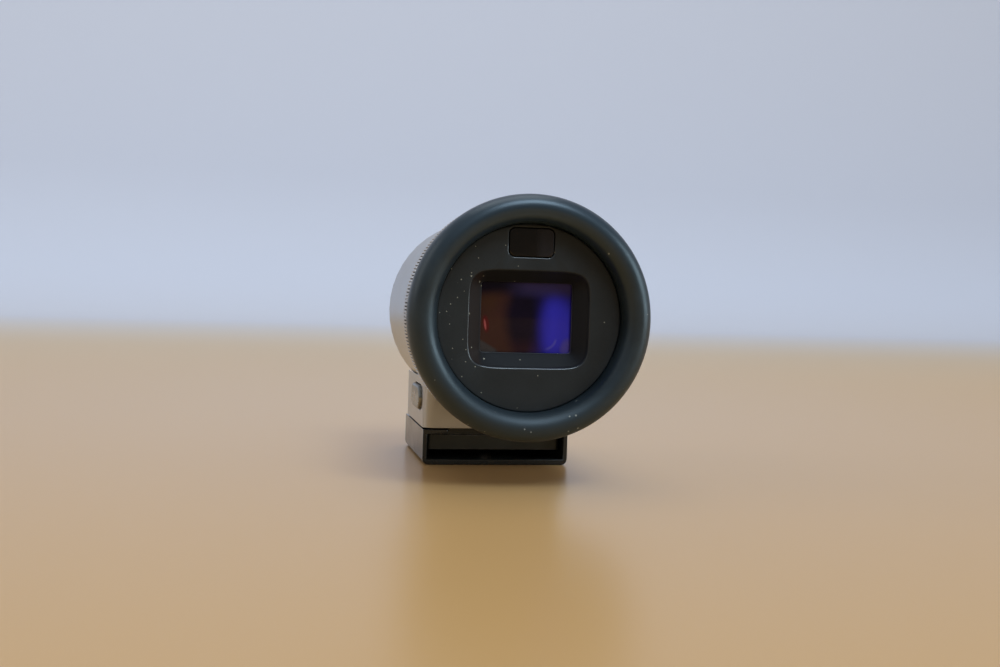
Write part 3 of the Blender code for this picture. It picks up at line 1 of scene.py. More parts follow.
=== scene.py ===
# %% [markdown]
# # A round electronic viewfinder, dressed for its portrait
# The solids of this part come from a CAD source and arrive here as a fixed frame. This script gives every
# piece its surface: the soft rubber of the eyecup, the satin silver tube, the knurled ring, the dark plate
# with its coated window, and the glossy black cover under the foot. Where the plain solid is too coarse to
# be looked at closely, a finer piece is made that stands where the solid stands.

# %% The frame
from math import cos, pi, radians, sin

import bmesh
import bpy
from mathutils import Matrix, Vector


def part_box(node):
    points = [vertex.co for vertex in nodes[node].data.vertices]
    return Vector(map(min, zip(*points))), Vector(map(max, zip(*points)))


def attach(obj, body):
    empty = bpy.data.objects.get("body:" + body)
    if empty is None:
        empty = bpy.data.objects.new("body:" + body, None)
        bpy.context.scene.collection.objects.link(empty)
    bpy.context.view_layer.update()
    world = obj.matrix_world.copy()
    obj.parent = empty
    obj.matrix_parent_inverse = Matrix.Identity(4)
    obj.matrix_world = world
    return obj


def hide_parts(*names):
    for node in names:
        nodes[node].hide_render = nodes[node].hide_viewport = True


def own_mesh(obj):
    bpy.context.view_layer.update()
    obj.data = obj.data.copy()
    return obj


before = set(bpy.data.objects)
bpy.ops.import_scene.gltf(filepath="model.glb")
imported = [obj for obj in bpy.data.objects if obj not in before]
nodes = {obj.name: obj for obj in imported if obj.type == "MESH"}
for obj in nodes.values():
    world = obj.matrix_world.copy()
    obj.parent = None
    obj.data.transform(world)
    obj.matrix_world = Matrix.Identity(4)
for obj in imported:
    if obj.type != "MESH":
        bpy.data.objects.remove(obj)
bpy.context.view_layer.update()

MM = 0.001

# %% [markdown]
# The finer pieces take their places from the CAD solids, never from guesses. A node's box gives its lowest
# and highest corner, and these few numbers are what the round pieces share: the height of the barrel's axis
# and the distances along it, which run along Y from the eye to the front.

# %% Places read from the solids
cup_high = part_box("eyecup")[1]
plate_low, plate_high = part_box("eyepiece_plate")
ring_low, ring_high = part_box("diopter_ring")
barrel_low, barrel_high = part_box("barrel_shell")
AXIS_Z = (barrel_low.z + barrel_high.z) / 2
print("axis height", round(AXIS_Z / MM, 3), "mm")
print("radii", [round(high.x / MM, 2) for high in (cup_high, ring_high, barrel_high)])

# %% [markdown]
# The camera stands where the photographer's did: low, a little to the left, looking slightly down at the
# barrel. Its lens and its distance were matched together, because only the right pair gives the part both
# its size in the picture and its perspective. The camera is turned a little about its own line of sight,
# because the photograph is not quite level.

# %% The camera
CAMERA_PLACE = Vector((-30.9, -157.1, 23.6)) * MM
LOOK_RIGHT, LOOK_DOWN, ROLL = radians(11.12), radians(2.1), radians(1.8)
camera_data = bpy.data.cameras.new("portrait_camera")
camera_data.lens = 43.2
camera_data.sensor_width = 36.0
camera_data.clip_start = MM
camera_data.clip_end = 10.0
camera = bpy.data.objects.new("portrait_camera", camera_data)
bpy.context.scene.collection.objects.link(camera)
forward = Vector((sin(LOOK_RIGHT) * cos(LOOK_DOWN), cos(LOOK_RIGHT) * cos(LOOK_DOWN), -sin(LOOK_DOWN)))
turn = forward.to_track_quat("-Z", "Y").to_matrix().to_4x4()
camera.matrix_world = Matrix.Translation(CAMERA_PLACE) @ turn @ Matrix.Rotation(ROLL, 4, "Z")
bpy.context.scene.camera = camera
print("camera looks along", [round(v, 3) for v in forward])

# %% [markdown]
# The stage is one sheet that lies flat under the part and curves up far behind it, as paper does on a
# photographer's table. Its near end has the warm tone of a pale desk and its far end the cool tone of a
# wall, because polished metal shows whatever stands round it: the warm tone is what makes the base look tan.

# %% The sweep under and behind the part
FLOOR_BACK, FLOOR_SIDE, BEND, BEND_STEPS = 0.58, 1.6, 0.10, 12
# Where the sheet has a row of points. The last row but one keeps the shading of the floor flat.
FLOOR_ROWS = (-0.9, -0.2, 0.2, FLOOR_BACK - 0.02, FLOOR_BACK)
WALL_ROWS = (0.6, 1.5)


def sweep_points():
    """Distance and height of the sheet, from behind the camera, along the floor and up the wall."""
    points = [(y, 0.0) for y in FLOOR_ROWS]
    for i in range(1, BEND_STEPS + 1):
        angle = pi / 2 * i / BEND_STEPS
        points.append((FLOOR_BACK + BEND * sin(angle), BEND * (1 - cos(angle))))
    return points + [(FLOOR_BACK + BEND, z) for z in WALL_ROWS]


bm = bmesh.new()
rows = [[bm.verts.new((x, y, z)) for x in (-FLOOR_SIDE, 0, FLOOR_SIDE)] for y, z in sweep_points()]
for near, far in zip(rows, rows[1:]):
    for i in range(2):
        bm.faces.new((near[i], near[i + 1], far[i + 1], far[i]))
mesh = bpy.data.meshes.new("sweep")
bm.to_mesh(mesh)
bm.free()
mesh.polygons.foreach_set("use_smooth", [True] * len(mesh.polygons))
sweep = bpy.data.objects.new("sweep", mesh)
bpy.context.scene.collection.objects.link(sweep)
print("sweep", len(mesh.polygons), "faces")

# %% [markdown]
# A small set of helpers wires the shader nodes, so that each finish below reads like a recipe: make the
# nodes, set their values, join them. Every texture here reads the object's own coordinates in metres, so a
# scale of 5000 means marks about a fifth of a millimetre across on any piece.

# %% Helpers for shader nodes
def add(tree, kind, **settings):
    """A new node of that kind. Settings are attributes of the node."""
    node = tree.nodes.new(kind)
    for name, value in settings.items():
        setattr(node, name, value)
    return node


def feed(tree, source, target):
    """Links an output to an input, or sets the input to a plain value."""
    if isinstance(source, bpy.types.NodeSocket):
        tree.links.new(source, target)
    else:
        target.default_value = source


def maths(tree, operation, *values):
    """One sum on two or three values, each an output or a number."""
    node = add(tree, "ShaderNodeMath", operation=operation)
    for value, socket in zip(values, node.inputs):
        feed(tree, value, socket)
    return node.outputs[0]


def mixed(tree, share, first, second):
    """A colour between two, each an output or four numbers."""
    node = add(tree, "ShaderNodeMix", data_type="RGBA")
    for value, socket in zip((share, first, second), (node.inputs[0], node.inputs[6], node.inputs[7])):
        feed(tree, value, socket)
    return node.outputs[2]


def between(tree, value, low, high, new_low, new_high):
    """Maps a value from one span to another, eased and held at both ends."""
    node = add(tree, "ShaderNodeMapRange", interpolation_type="SMOOTHSTEP")
    for number, socket in zip((value, low, high, new_low, new_high), node.inputs):
        feed(tree, number, socket)
    return node.outputs[0]


def distance(tree, first, second):
    """How far a point lies from where both values are zero."""
    squares = maths(tree, "MULTIPLY_ADD", first, first, maths(tree, "MULTIPLY", second, second))
    return maths(tree, "SQRT", squares)


def own_place(tree, stretch=(1, 1, 1)):
    """The point's coordinates on its own object, in metres, stretched where marks are to be long."""
    node = add(tree, "ShaderNodeMapping")
    tree.links.new(add(tree, "ShaderNodeTexCoord").outputs["Object"], node.inputs["Vector"])
    node.inputs["Scale"].default_value = stretch
    return node.outputs[0]


def place_parts(tree):
    """The point's own x, y and z in metres, each an output."""
    split = add(tree, "ShaderNodeSeparateXYZ")
    feed(tree, own_place(tree), split.inputs[0])
    return split.outputs


def noise(tree, scale, detail=2.0, roughness=0.5, stretch=(1, 1, 1)):
    """Noise over the object, between 0 and 1."""
    node = add(tree, "ShaderNodeTexNoise")
    feed(tree, own_place(tree, stretch), node.inputs["Vector"])
    feed(tree, scale, node.inputs["Scale"])
    node.inputs["Detail"].default_value = detail
    node.inputs["Roughness"].default_value = roughness
    return node.outputs["Fac"]


def rgb(red, green, blue):
    """A colour as a screen shows it, 0 to 255, in the linear values that a shader takes."""
    shares = [value / 255 for value in (red, green, blue)]
    return (*[s / 12.92 if s <= 0.04045 else ((s + 0.055) / 1.055) ** 2.4 for s in shares], 1.0)


print("a mid grey of 128 is", [round(v, 3) for v in rgb(128, 128, 128)])

# %% [markdown]
# Four effects come back in many finishes, so each is a node group made once. `fine_grain` is the tooth of a
# moulded or blasted surface. `handling` is the slow, cloudy difference that fingers leave. `edge_rub` finds
# edges by comparing the true normal with a rounded one, and breaks the line up so that wear looks uneven.
# `dust_specks` scatters tiny pale points, most of them too small to notice one by one.

# %% The shared effects
def start_group(name, inputs, outputs):
    """An empty node group with named inputs, each with its first value, and named outputs."""
    group = bpy.data.node_groups.new(name, "ShaderNodeTree")
    for label, value in inputs:
        socket = group.interface.new_socket(label, in_out="INPUT", socket_type="NodeSocketFloat")
        socket.default_value = value
    for label in outputs:
        group.interface.new_socket(label, in_out="OUTPUT", socket_type="NodeSocketFloat")
    return group, group.nodes.new("NodeGroupInput").outputs, group.nodes.new("NodeGroupOutput").inputs


fine_grain, given, result = start_group("fine_grain", [("Scale", 6000.0)], ["Height", "Tone"])
coarse = noise(fine_grain, given["Scale"], 3.0, 0.6)
fine = noise(fine_grain, maths(fine_grain, "MULTIPLY", given["Scale"], 2.7), 1.0)
feed(fine_grain, maths(fine_grain, "MULTIPLY", maths(fine_grain, "ADD", coarse, fine), 0.5), result["Height"])
feed(fine_grain, between(fine_grain, coarse, 0.3, 0.7, 0.0, 1.0), result["Tone"])

handling, given, result = start_group("handling", [("Scale", 160.0)], ["Cloud"])
clouds = noise(handling, given["Scale"], 4.0, 0.62)
feed(handling, between(handling, clouds, 0.32, 0.68, 0.0, 1.0), result["Cloud"])

edge_rub, given, result = start_group(
    "edge_rub", [("Width", 0.00015), ("Strength", 1.0), ("Break scale", 900.0)], ["Mask"]
)
rounded = add(edge_rub, "ShaderNodeBevel", samples=4)
feed(edge_rub, given["Width"], rounded.inputs["Radius"])
match = add(edge_rub, "ShaderNodeVectorMath", operation="DOT_PRODUCT")
feed(edge_rub, rounded.outputs[0], match.inputs[0])
feed(edge_rub, add(edge_rub, "ShaderNodeNewGeometry").outputs["Normal"], match.inputs[1])
edge = between(edge_rub, maths(edge_rub, "SUBTRACT", 1.0, match.outputs["Value"]), 0.02, 0.16, 0.0, 1.0)
broken = between(edge_rub, noise(edge_rub, given["Break scale"], 3.0), 0.35, 0.62, 0.25, 1.0)
worn = maths(edge_rub, "MULTIPLY", edge, broken)
feed(edge_rub, maths(edge_rub, "MULTIPLY", worn, given["Strength"]), result["Mask"])

dust_specks, given, result = start_group(
    "dust_specks", [("Scale", 2200.0), ("Amount", 0.02), ("Size", 0.22)], ["Mask"]
)
cells = add(dust_specks, "ShaderNodeTexVoronoi")
feed(dust_specks, own_place(dust_specks), cells.inputs["Vector"])
feed(dust_specks, given["Scale"], cells.inputs["Scale"])
chosen = add(dust_specks, "ShaderNodeSeparateColor")
feed(dust_specks, cells.outputs["Color"], chosen.inputs[0])
lucky = maths(dust_specks, "LESS_THAN", chosen.outputs[0], given["Amount"])
size = maths(dust_specks, "MULTIPLY", given["Size"], maths(dust_specks, "ADD", chosen.outputs[1], 0.3))
near = maths(dust_specks, "LESS_THAN", cells.outputs["Distance"], size)
feed(dust_specks, maths(dust_specks, "MULTIPLY", lucky, near), result["Mask"])
print("groups", [group.name for group in bpy.data.node_groups])

# %% [markdown]
# Each finish starts from one Principled shader. The helper below makes it and keeps what nearly all of them
# share: a base colour that drifts between two close tones, a roughness that drifts with handling, and a
# fine grain that a Bump node turns into relief. What makes a finish special is added where it is made. Wear
# and dust come back so often that each has a helper too, which places its group and lays its colour.

# %% The start of every finish
finishes = {}


def group_in(tree, group, **values):
    """A group placed in a material. Values are its inputs, with _ for a space."""
    node = add(tree, "ShaderNodeGroup", node_tree=group)
    for name, value in values.items():
        node.inputs[name.replace("_", " ")].default_value = value
    return node


def start_finish(name, light, dark, rough, grain=6000.0, relief=0.02, cloud=160.0, metallic=0.0):
    """A material with drifting colour and roughness and a fine grain. Relief is the grain's depth in mm."""
    material = bpy.data.materials.new(name + "_finish")
    material.use_nodes = True
    tree = material.node_tree
    shader = tree.nodes["Principled BSDF"]
    shader.inputs["Metallic"].default_value = metallic
    hand = group_in(tree, handling, Scale=cloud).outputs["Cloud"]
    tooth = group_in(tree, fine_grain, Scale=grain)
    tone = maths(tree, "MULTIPLY_ADD", tooth.outputs["Tone"], 0.35, maths(tree, "MULTIPLY", hand, 0.65))
    feed(tree, mixed(tree, tone, dark, light), shader.inputs["Base Color"])
    feed(tree, between(tree, hand, 0.0, 1.0, *rough), shader.inputs["Roughness"])
    bump = add(tree, "ShaderNodeBump")
    bump.inputs["Strength"].default_value = 1.0
    bump.inputs["Distance"].default_value = relief * MM
    feed(tree, tooth.outputs["Height"], bump.inputs["Height"])
    feed(tree, bump.outputs[0], shader.inputs["Normal"])
    finishes[name] = material
    return material, tree, shader


def over(tree, shader, mask, colour, roughness=None):
    """Lays a colour, and a roughness if one is given, over what the shader has, where the mask is 1."""
    base = shader.inputs["Base Color"]
    before = base.links[0].from_socket
    feed(tree, mixed(tree, mask, before, colour), base)
    if roughness is not None:
        rough = shader.inputs["Roughness"]
        before = rough.links[0].from_socket
        node = add(tree, "ShaderNodeMix", data_type="FLOAT")
        for value, socket in zip((mask, before, roughness), (node.inputs[0], node.inputs[2], node.inputs[3])):
            feed(tree, value, socket)
        feed(tree, node.outputs[0], rough)


def rubbed(tree, shader, width, strength, scale, colour, roughness=None):
    """Wear along the edges in a colour. The width is in mm, and the scale is that of its breaks."""
    group = group_in(tree, edge_rub, Width=width * MM, Strength=strength, Break_scale=scale)
    over(tree, shader, group.outputs["Mask"], colour, roughness)


def dusted(tree, shader, scale, size, amount, colour):
    """Dull specks of dust in a colour. The amount is the share of places that have one."""
    group = group_in(tree, dust_specks, Scale=scale, Size=size)
    feed(tree, amount, group.inputs["Amount"])
    over(tree, shader, group.outputs["Mask"], colour, 0.9)


print("ready for finishes")

# %% [markdown]
# The eyecup is soft rubber. Rubber is dark but never dead black: it scatters a broad, cool sheen where the
# light grazes it. It is smoother at the top, where a brow has polished the crest, and its colour there is a
# painted sheen, lighter and bluer. It is duller at the foot, where the cheek touches it, and its colour there
# is painted shade, a little darker. It collects dust there too. So the finish is a blue-grey black of middle
# roughness, with a very fine tooth and pale specks, and the shader's specular tint keeps the sheen cool.

# %% Rubber
material, tree, shader = start_finish(
    "eyecup_rubber", rgb(30, 41, 48), rgb(23, 32, 38), (0.36, 0.46), grain=9000.0, relief=0.003
)
shader.inputs["Specular IOR Level"].default_value = 0.66
shader.inputs["Specular Tint"].default_value = (0.80, 0.93, 1.0, 1.0)
x, y, z = place_parts(tree)
# Painted sheen: the top of the rim is painted lighter and bluer where the light catches it, and made
# smoother.
crest_polish_and_painted_sheen = between(tree, z, AXIS_Z + 4 * MM, AXIS_Z + 12 * MM, 0.0, 1.0)
over(tree, shader, crest_polish_and_painted_sheen, rgb(29, 43, 54), 0.33)
# Painted shade: the foot of the rim is painted darker, and made rougher.
foot_dullness_and_painted_shade = between(tree, z, AXIS_Z - 7 * MM, AXIS_Z - 12 * MM, 0.0, 1.0)
over(tree, shader, foot_dullness_and_painted_shade, rgb(25, 35, 41), 0.50)
more_below = between(tree, z, AXIS_Z - 7 * MM, AXIS_Z - 12 * MM, 0.010, 0.09)
dusted(tree, shader, 2600.0, 0.24, more_below, rgb(140, 144, 140))
print("rubber done")

# %% [markdown]
# The face plate is moulded in dark plastic from a spark-eroded tool, which leaves an even, sandy tooth that
# kills reflections near the eye. The same plastic makes the lens cell and the inner tube, which are never
# touched. This finish is theirs, and the plate wears it until its own is made from the same start.

# %% Dark moulded plastic
material, tree, shader = start_finish(
    "dark_plastic", rgb(36, 38, 37), rgb(28, 30, 30), (0.50, 0.62), grain=7000.0, relief=0.008
)
rubbed(tree, shader, 0.10, 0.6, 1500.0, rgb(70, 76, 78), 0.4)
dusted(tree, shader, 3000.0, 0.16, 0.03, rgb(136, 134, 122))
print("dark plastic done")

# %% [markdown]
# The barrel, ring, base and button are aluminium, blasted fine and anodised clear. The metal's colour is
# nearly white; what the eye reads as silver is the soft picture of the room in it. The grain breaks that
# picture up, and the edges, where the oxide is thin and rubbed, shine a little more.

# %% Satin silver
material, tree, shader = start_finish(
    "satin_silver", rgb(189, 188, 186), rgb(182, 182, 181), (0.31, 0.35),
    grain=11000.0, relief=0.003, metallic=1.0,
)
rubbed(tree, shader, 0.12, 0.6, 1300.0, rgb(214, 214, 213), 0.22)
print("satin silver done")

# %% [markdown]
# The release button is the same metal left a shade darker, and polished by thumbs in its middle, so it stands
# out from the block round it. The polish is a soft patch that follows the pill's own height.

# %% The release button's darker silver
button_low, button_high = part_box("release_button")
material, tree, shader = start_finish(
    "button_silver", rgb(134, 134, 128), rgb(116, 115, 108), (0.28, 0.34),
    grain=9000.0, relief=0.003, metallic=1.0,
)
x, y, z = place_parts(tree)
button_z = (button_low.z + button_high.z) / 2
middle = maths(tree, "ABSOLUTE", maths(tree, "SUBTRACT", z, button_z))
over(tree, shader, between(tree, middle, 0.3 * MM, 1.5 * MM, 0.5, 0.0), rgb(150, 150, 148), 0.22)
rubbed(tree, shader, 0.10, 0.7, 1400.0, rgb(104, 105, 105), 0.3)
print("button silver done")

# %% [markdown]
# The cover is glossy black plastic that slides over the foot. Gloss black shows handling more than colour:
# a veil of fine smears, and hairline scratches along the way that it slides.

# %% Glossy black cover plastic
material, tree, shader = start_finish(
    "cover_plastic", rgb(34, 36, 35), rgb(27, 29, 28), (0.14, 0.22), grain=5000.0, relief=0.0008, cloud=180.0
)
lines = between(tree, noise(tree, 5200.0, 2.0, 0.5, (1, 0.04, 1)), 0.66, 0.72, 0.0, 0.18)
over(tree, shader, lines, rgb(46, 48, 50), 0.34)
rubbed(tree, shader, 0.12, 0.4, 1100.0, rgb(64, 68, 70), 0.28)
print("cover plastic done")

# %% [markdown]
# The foot is a pressed metal plate with a hard black finish. Each trip into a shoe rubs it along the rails,
# so its edges show a thin line of bare metal, and the flat has faint marks that run along the slide.

# %% Black-finished foot metal
material, tree, shader = start_finish(
    "foot_metal", rgb(64, 64, 57), rgb(51, 52, 47), (0.34, 0.46), grain=8000.0, relief=0.004, metallic=0.55
)
lines = between(tree, noise(tree, 4200.0, 2.0, 0.5, (1, 0.05, 1)), 0.58, 0.68, 0.0, 0.3)
over(tree, shader, lines, rgb(60, 60, 56), 0.3)
rubbed(tree, shader, 0.14, 0.8, 900.0, rgb(150, 149, 144), 0.25)
print("foot metal done")

# %% [markdown]
# The eyepiece window is glass with a coating against reflections. A coating doesn't stop light evenly, and
# the glass's colour here is painted reflection: one side of the glass is painted a reddish brown, the middle
# next to nothing, and the other side violet blue. The zones have curved borders, because they stand for
# reflections in the curved lens behind. They are laid here one over the other as soft bands, in coordinates
# that run from
# -1 to 1 over the part of the glass that shows.

# %% Coated window glass
window_low, window_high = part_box("eyepiece_window")
SEEN_WIDTH, SEEN_HEIGHT = 11.2 * MM, 8.5 * MM  # the part of the glass that the plate leaves free
material, tree, shader = start_finish(
    "window_glass", rgb(22, 14, 31), rgb(17, 11, 26), (0.03, 0.06), grain=3000.0, relief=0.0, cloud=420.0
)
x, y, z = place_parts(tree)
across = maths(tree, "DIVIDE", x, SEEN_WIDTH / 2)
height = maths(tree, "DIVIDE", maths(tree, "SUBTRACT", z, AXIS_Z), SEEN_HEIGHT / 2)
arch = maths(tree, "MULTIPLY", height, height)
drift = maths(tree, "MULTIPLY", maths(tree, "SUBTRACT", noise(tree, 300.0, 2.0), 0.5), 0.10)


def zone(value, low, high, strength=1.0):
    """A mask for the finish in hand that rises as a value goes from low to high."""
    return between(tree, value, low, high, 0.0, strength)


def both(first, second):
    """Where two masks meet."""
    return maths(tree, "MULTIPLY", first, second)


def moved(value, by):
    """A value less a number."""
    return maths(tree, "SUBTRACT", value, by)


def oval(right, up, width, tall, slant=0.0):
    """A soft oval mark on the glass, 1 in its middle. right and up say where the middle lies."""
    rise = moved(height, up)
    dx = maths(tree, "DIVIDE", maths(tree, "MULTIPLY_ADD", rise, slant, moved(across, right)), width)
    dy = maths(tree, "DIVIDE", rise, tall)
    far = maths(tree, "ADD", maths(tree, "MULTIPLY", dx, dx), maths(tree, "MULTIPLY", dy, dy))
    return between(tree, far, 0.15, 1.0, 1.0, 0.0)


# Painted reflections: each zone below is a colour painted on the glass for what the coated lens throws back.
bowed = maths(tree, "ADD", maths(tree, "MULTIPLY_ADD", arch, 0.10, across), drift)
leftward = maths(tree, "SUBTRACT", drift, maths(tree, "MULTIPLY_ADD", arch, -0.20, across))
below_top = zone(maths(tree, "MULTIPLY_ADD", across, -0.14, height), 0.96, 0.56)
over(tree, shader, both(zone(height, -0.45, -0.95, 0.8), zone(leftward, -0.40, 0.0)), rgb(46, 23, 33))
over(tree, shader, both(zone(leftward, 0.26, 0.62), below_top), rgb(62, 37, 32))
upper_left = both(zone(leftward, 0.52, 0.84, 0.6), zone(height, -0.2, 0.5))
over(tree, shader, both(upper_left, below_top), rgb(68, 44, 26))
over(tree, shader, zone(bowed, 0.06, 0.70), rgb(37, 30, 110))
over(tree, shader, both(oval(0.68, -0.22, 0.58, 1.10), zone(bowed, 0.12, 0.66)), rgb(53, 49, 180))
over(tree, shader, both(zone(height, 0.46, 0.90, 0.85), zone(across, -0.60, 0.15)), rgb(64, 55, 104))
over(tree, shader, oval(0.94, -0.90, 0.20, 0.40), rgb(76, 66, 150))
print("window zones done")

# %% [markdown]
# A few small painted marks make the glass look deep: a painted pink glint near the left edge, a thin painted
# crescent of light at the lower right, where a lens edge inside catches light, and a grey veil in the lower
# left corner.

# %% Marks in the glass
# Painted highlights: a thin crescent of light at the lower right and a pink glint at the left edge.
ring_x, ring_z = moved(across, 0.42), maths(tree, "MULTIPLY", moved(height, -0.56), 0.8)
off_ring = moved(distance(tree, ring_x, ring_z), 0.26)
thin = maths(tree, "SUBTRACT", 1.0, zone(maths(tree, "ABSOLUTE", off_ring), 0.0, 0.05))
crescent = both(thin, both(zone(ring_x, -0.02, 0.14), zone(ring_z, 0.02, -0.10)))
over(tree, shader, maths(tree, "MULTIPLY", crescent, 0.45), rgb(100, 92, 166))
over(tree, shader, oval(-0.87, -0.20, 0.09, 0.30, 0.10), rgb(84, 24, 26))
over(tree, shader, oval(-0.885, -0.22, 0.03, 0.19, 0.12), rgb(158, 78, 76), 0.2)
corner = maths(tree, "ADD", maths(tree, "MULTIPLY_ADD", across, 0.72, height), drift)
over(tree, shader, both(zone(corner, -1.32, -1.42, 0.9), zone(across, -0.58, -0.66)), rgb(62, 58, 57), 0.3)
shader.inputs["Specular IOR Level"].default_value = 0.12
shader.inputs["Coat Weight"].default_value = 0.06
shader.inputs["Coat Roughness"].default_value = 0.04
print("marks in the glass done")

# %% [markdown]
# The small window over the eye sensor lets infrared through and looks nearly black. It is a polished dark
# brown plastic, a touch lighter and greyer towards the right.

# %% Sensor window plastic
material, tree, shader = start_finish(
    "sensor_glass", rgb(20, 16, 13), rgb(14, 11, 9), (0.06, 0.12), grain=3000.0, relief=0.0, cloud=300.0
)
x, y, z = place_parts(tree)
lighter = between(tree, x, 0.2 * MM, 1.6 * MM, 0.0, 0.8)
over(tree, shader, lighter, rgb(40, 38, 40))
dusted(tree, shader, 3200.0, 0.14, 0.03, rgb(112, 110, 102))
shader.inputs["Specular IOR Level"].default_value = 0.3
print("sensor window done")

# %% [markdown]
# The lenses inside are clear glass. A plain transmission with the index of optical glass is enough, and the
# coating's tint sits in the colour, which turns greenish where the glass is seen at a slant.

# %% Lens glass
material, tree, shader = start_finish(
    "lens_glass", rgb(236, 240, 244), rgb(228, 234, 240), (0.01, 0.03), grain=3000.0, relief=0.0
)
slant = add(tree, "ShaderNodeLayerWeight")
slant.inputs["Blend"].default_value = 0.35
over(tree, shader, slant.outputs["Facing"], rgb(196, 226, 214))
shader.inputs["Transmission Weight"].default_value = 1.0
shader.inputs["IOR"].default_value = 1.6
print("lens glass done")

# %% [markdown]
# Small steel pieces such as pins, screws and springs are turned or drawn, so fine lines run round or along
# them. The contacts are the same kind of metal under a thin layer of gold, whose colour does the work.

# %% Steel and gold
material, tree, shader = start_finish(
    "steel", rgb(188, 188, 190), rgb(164, 165, 168), (0.20, 0.34), grain=9000.0, relief=0.003, metallic=1.0
)
turned_lines = between(tree, noise(tree, 14000.0, 1.0, 0.5, (1, 1, 0.08)), 0.4, 0.6, 0.0, 0.5)
over(tree, shader, turned_lines, rgb(140, 141, 144), 0.36)
rubbed(tree, shader, 0.06, 0.6, 1800.0, rgb(226, 226, 226), 0.16)

material, tree, shader = start_finish(
    "gold_contact", rgb(232, 196, 112), rgb(214, 172, 88), (0.18, 0.30),
    grain=9000.0, relief=0.002, metallic=1.0,
)
wiped = between(tree, noise(tree, 6000.0, 2.0, 0.5, (1, 0.06, 1)), 0.52, 0.64, 0.0, 0.7)
over(tree, shader, wiped, rgb(246, 222, 160), 0.12)
print("steel and gold done")

# %% [markdown]
# The electronics are seen only when the part is taken apart, and still deserve their look. A circuit board
# is glass fibre under green lacquer, with copper traces that show through as lighter lines. Chips are
# moulded epoxy, a dull black full of fine filler. The flexible circuits are amber film with long traces.

# %% Boards, chips and flexible circuits
def square_marks(tree, scale, turned_by):
    """A mask of crossing straight lines, like traces on a board."""
    brick = add(tree, "ShaderNodeTexBrick", offset=0.5, squash=0.6, squash_frequency=3)
    spin = add(tree, "ShaderNodeMapping")
    spin.inputs["Rotation"].default_value = turned_by
    feed(tree, own_place(tree), spin.inputs["Vector"])
    feed(tree, spin.outputs[0], brick.inputs["Vector"])
    brick.inputs["Scale"].default_value = scale
    brick.inputs["Mortar Size"].default_value = 0.035
    return brick.outputs["Fac"]


material, tree, shader = start_finish(
    "board_green", rgb(34, 92, 56), rgb(22, 74, 44), (0.28, 0.40), grain=5000.0, relief=0.004, cloud=300.0
)
over(tree, shader, square_marks(tree, 700.0, (pi / 2, 0, 0)), rgb(72, 138, 84), 0.3)

material, tree, shader = start_finish(
    "chip_black", rgb(40, 40, 42), rgb(30, 30, 32), (0.5, 0.62), grain=12000.0, relief=0.006
)
rubbed(tree, shader, 0.08, 0.5, 2000.0, rgb(74, 74, 76), 0.4)

material, tree, shader = start_finish(
    "flex_amber", rgb(176, 112, 44), rgb(156, 92, 32), (0.25, 0.36), grain=4000.0, relief=0.002, cloud=300.0
)
traces = add(tree, "ShaderNodeTexWave", bands_direction="X")
feed(tree, own_place(tree), traces.inputs["Vector"])
traces.inputs["Scale"].default_value = 800.0
over(tree, shader, between(tree, traces.outputs["Fac"], 0.55, 0.7, 0.0, 0.7), rgb(206, 140, 72), 0.3)
print("board, chip and flex done")

# %% [markdown]
# Two last finishes belong to the display. The gasket is black foam, all open cells, so its relief is deep
# for its size and it reflects almost nothing. The light box is white moulded plastic, made to pass light
# around evenly, and has yellowed a little towards its edges.

# %% Foam and light box
material, tree, shader = start_finish(
    "foam_black", rgb(34, 34, 35), rgb(14, 14, 15), (0.9, 1.0), grain=3600.0, relief=0.08
)
material, tree, shader = start_finish(
    "light_box_white", rgb(228, 228, 222), rgb(218, 218, 210), (0.42, 0.55), grain=6000.0, relief=0.004
)
rubbed(tree, shader, 0.4, 0.5, 700.0, rgb(212, 204, 178))
print("finishes", sorted(finishes))

# %% [markdown]
# The sweep's finish changes slowly from a warm pale desk tone near the part to a cool pale wall tone behind
# it, over a wide span, because the real border between desk and wall is far away and soft. It is a little
# glossy near the part, as a lacquered desk is, so the part has a soft reflection at its foot. The wall
# stands far from the lamps, so it also glows a little, but only to the camera and to rays that mirrors and
# glass send. It brightens the background and its reflections, and sheds no light on dull surfaces.

# %% The finish of the sweep
DESK_NEAR, DESK_FAR, WALL = rgb(211, 165, 104), rgb(224, 206, 183), rgb(198, 204, 218)
DESK_ROUGH, WALL_ROUGH, WALL_GLOW = 0.28, 0.9, 0.31
HEIGHT_COUNTS = 1.5  # a step up the wall changes the tone as much as this many steps along the floor
material = bpy.data.materials.new("sweep_finish")
material.use_nodes = True
tree = material.node_tree
shader = tree.nodes["Principled BSDF"]
x, y, z = place_parts(tree)
warm = mixed(tree, between(tree, y, -0.1, 0.5, 0.0, 1.0), DESK_NEAR, DESK_FAR)
rise = maths(tree, "MULTIPLY_ADD", z, HEIGHT_COUNTS, y)
wall_share = between(tree, rise, 0.26, 0.72, 0.0, 1.0)
feed(tree, mixed(tree, wall_share, warm, WALL), shader.inputs["Base Color"])
away = distance(tree, x, rise)
feed(tree, between(tree, away, 0.02, 0.50, DESK_ROUGH, WALL_ROUGH), shader.inputs["Roughness"])
shader.inputs["Specular IOR Level"].default_value = 0.45
rays = add(tree, "ShaderNodeLightPath").outputs
mirrored = maths(tree, "MAXIMUM", rays["Is Glossy Ray"], rays["Is Transmission Ray"])
seen = maths(tree, "MAXIMUM", rays["Is Camera Ray"], mirrored)
shader.inputs["Emission Color"].default_value = WALL
glow = maths(tree, "MULTIPLY", maths(tree, "MULTIPLY", wall_share, seen), WALL_GLOW)
feed(tree, glow, shader.inputs["Emission Strength"])
sweep.data.materials.append(material)
print("sweep finish done")

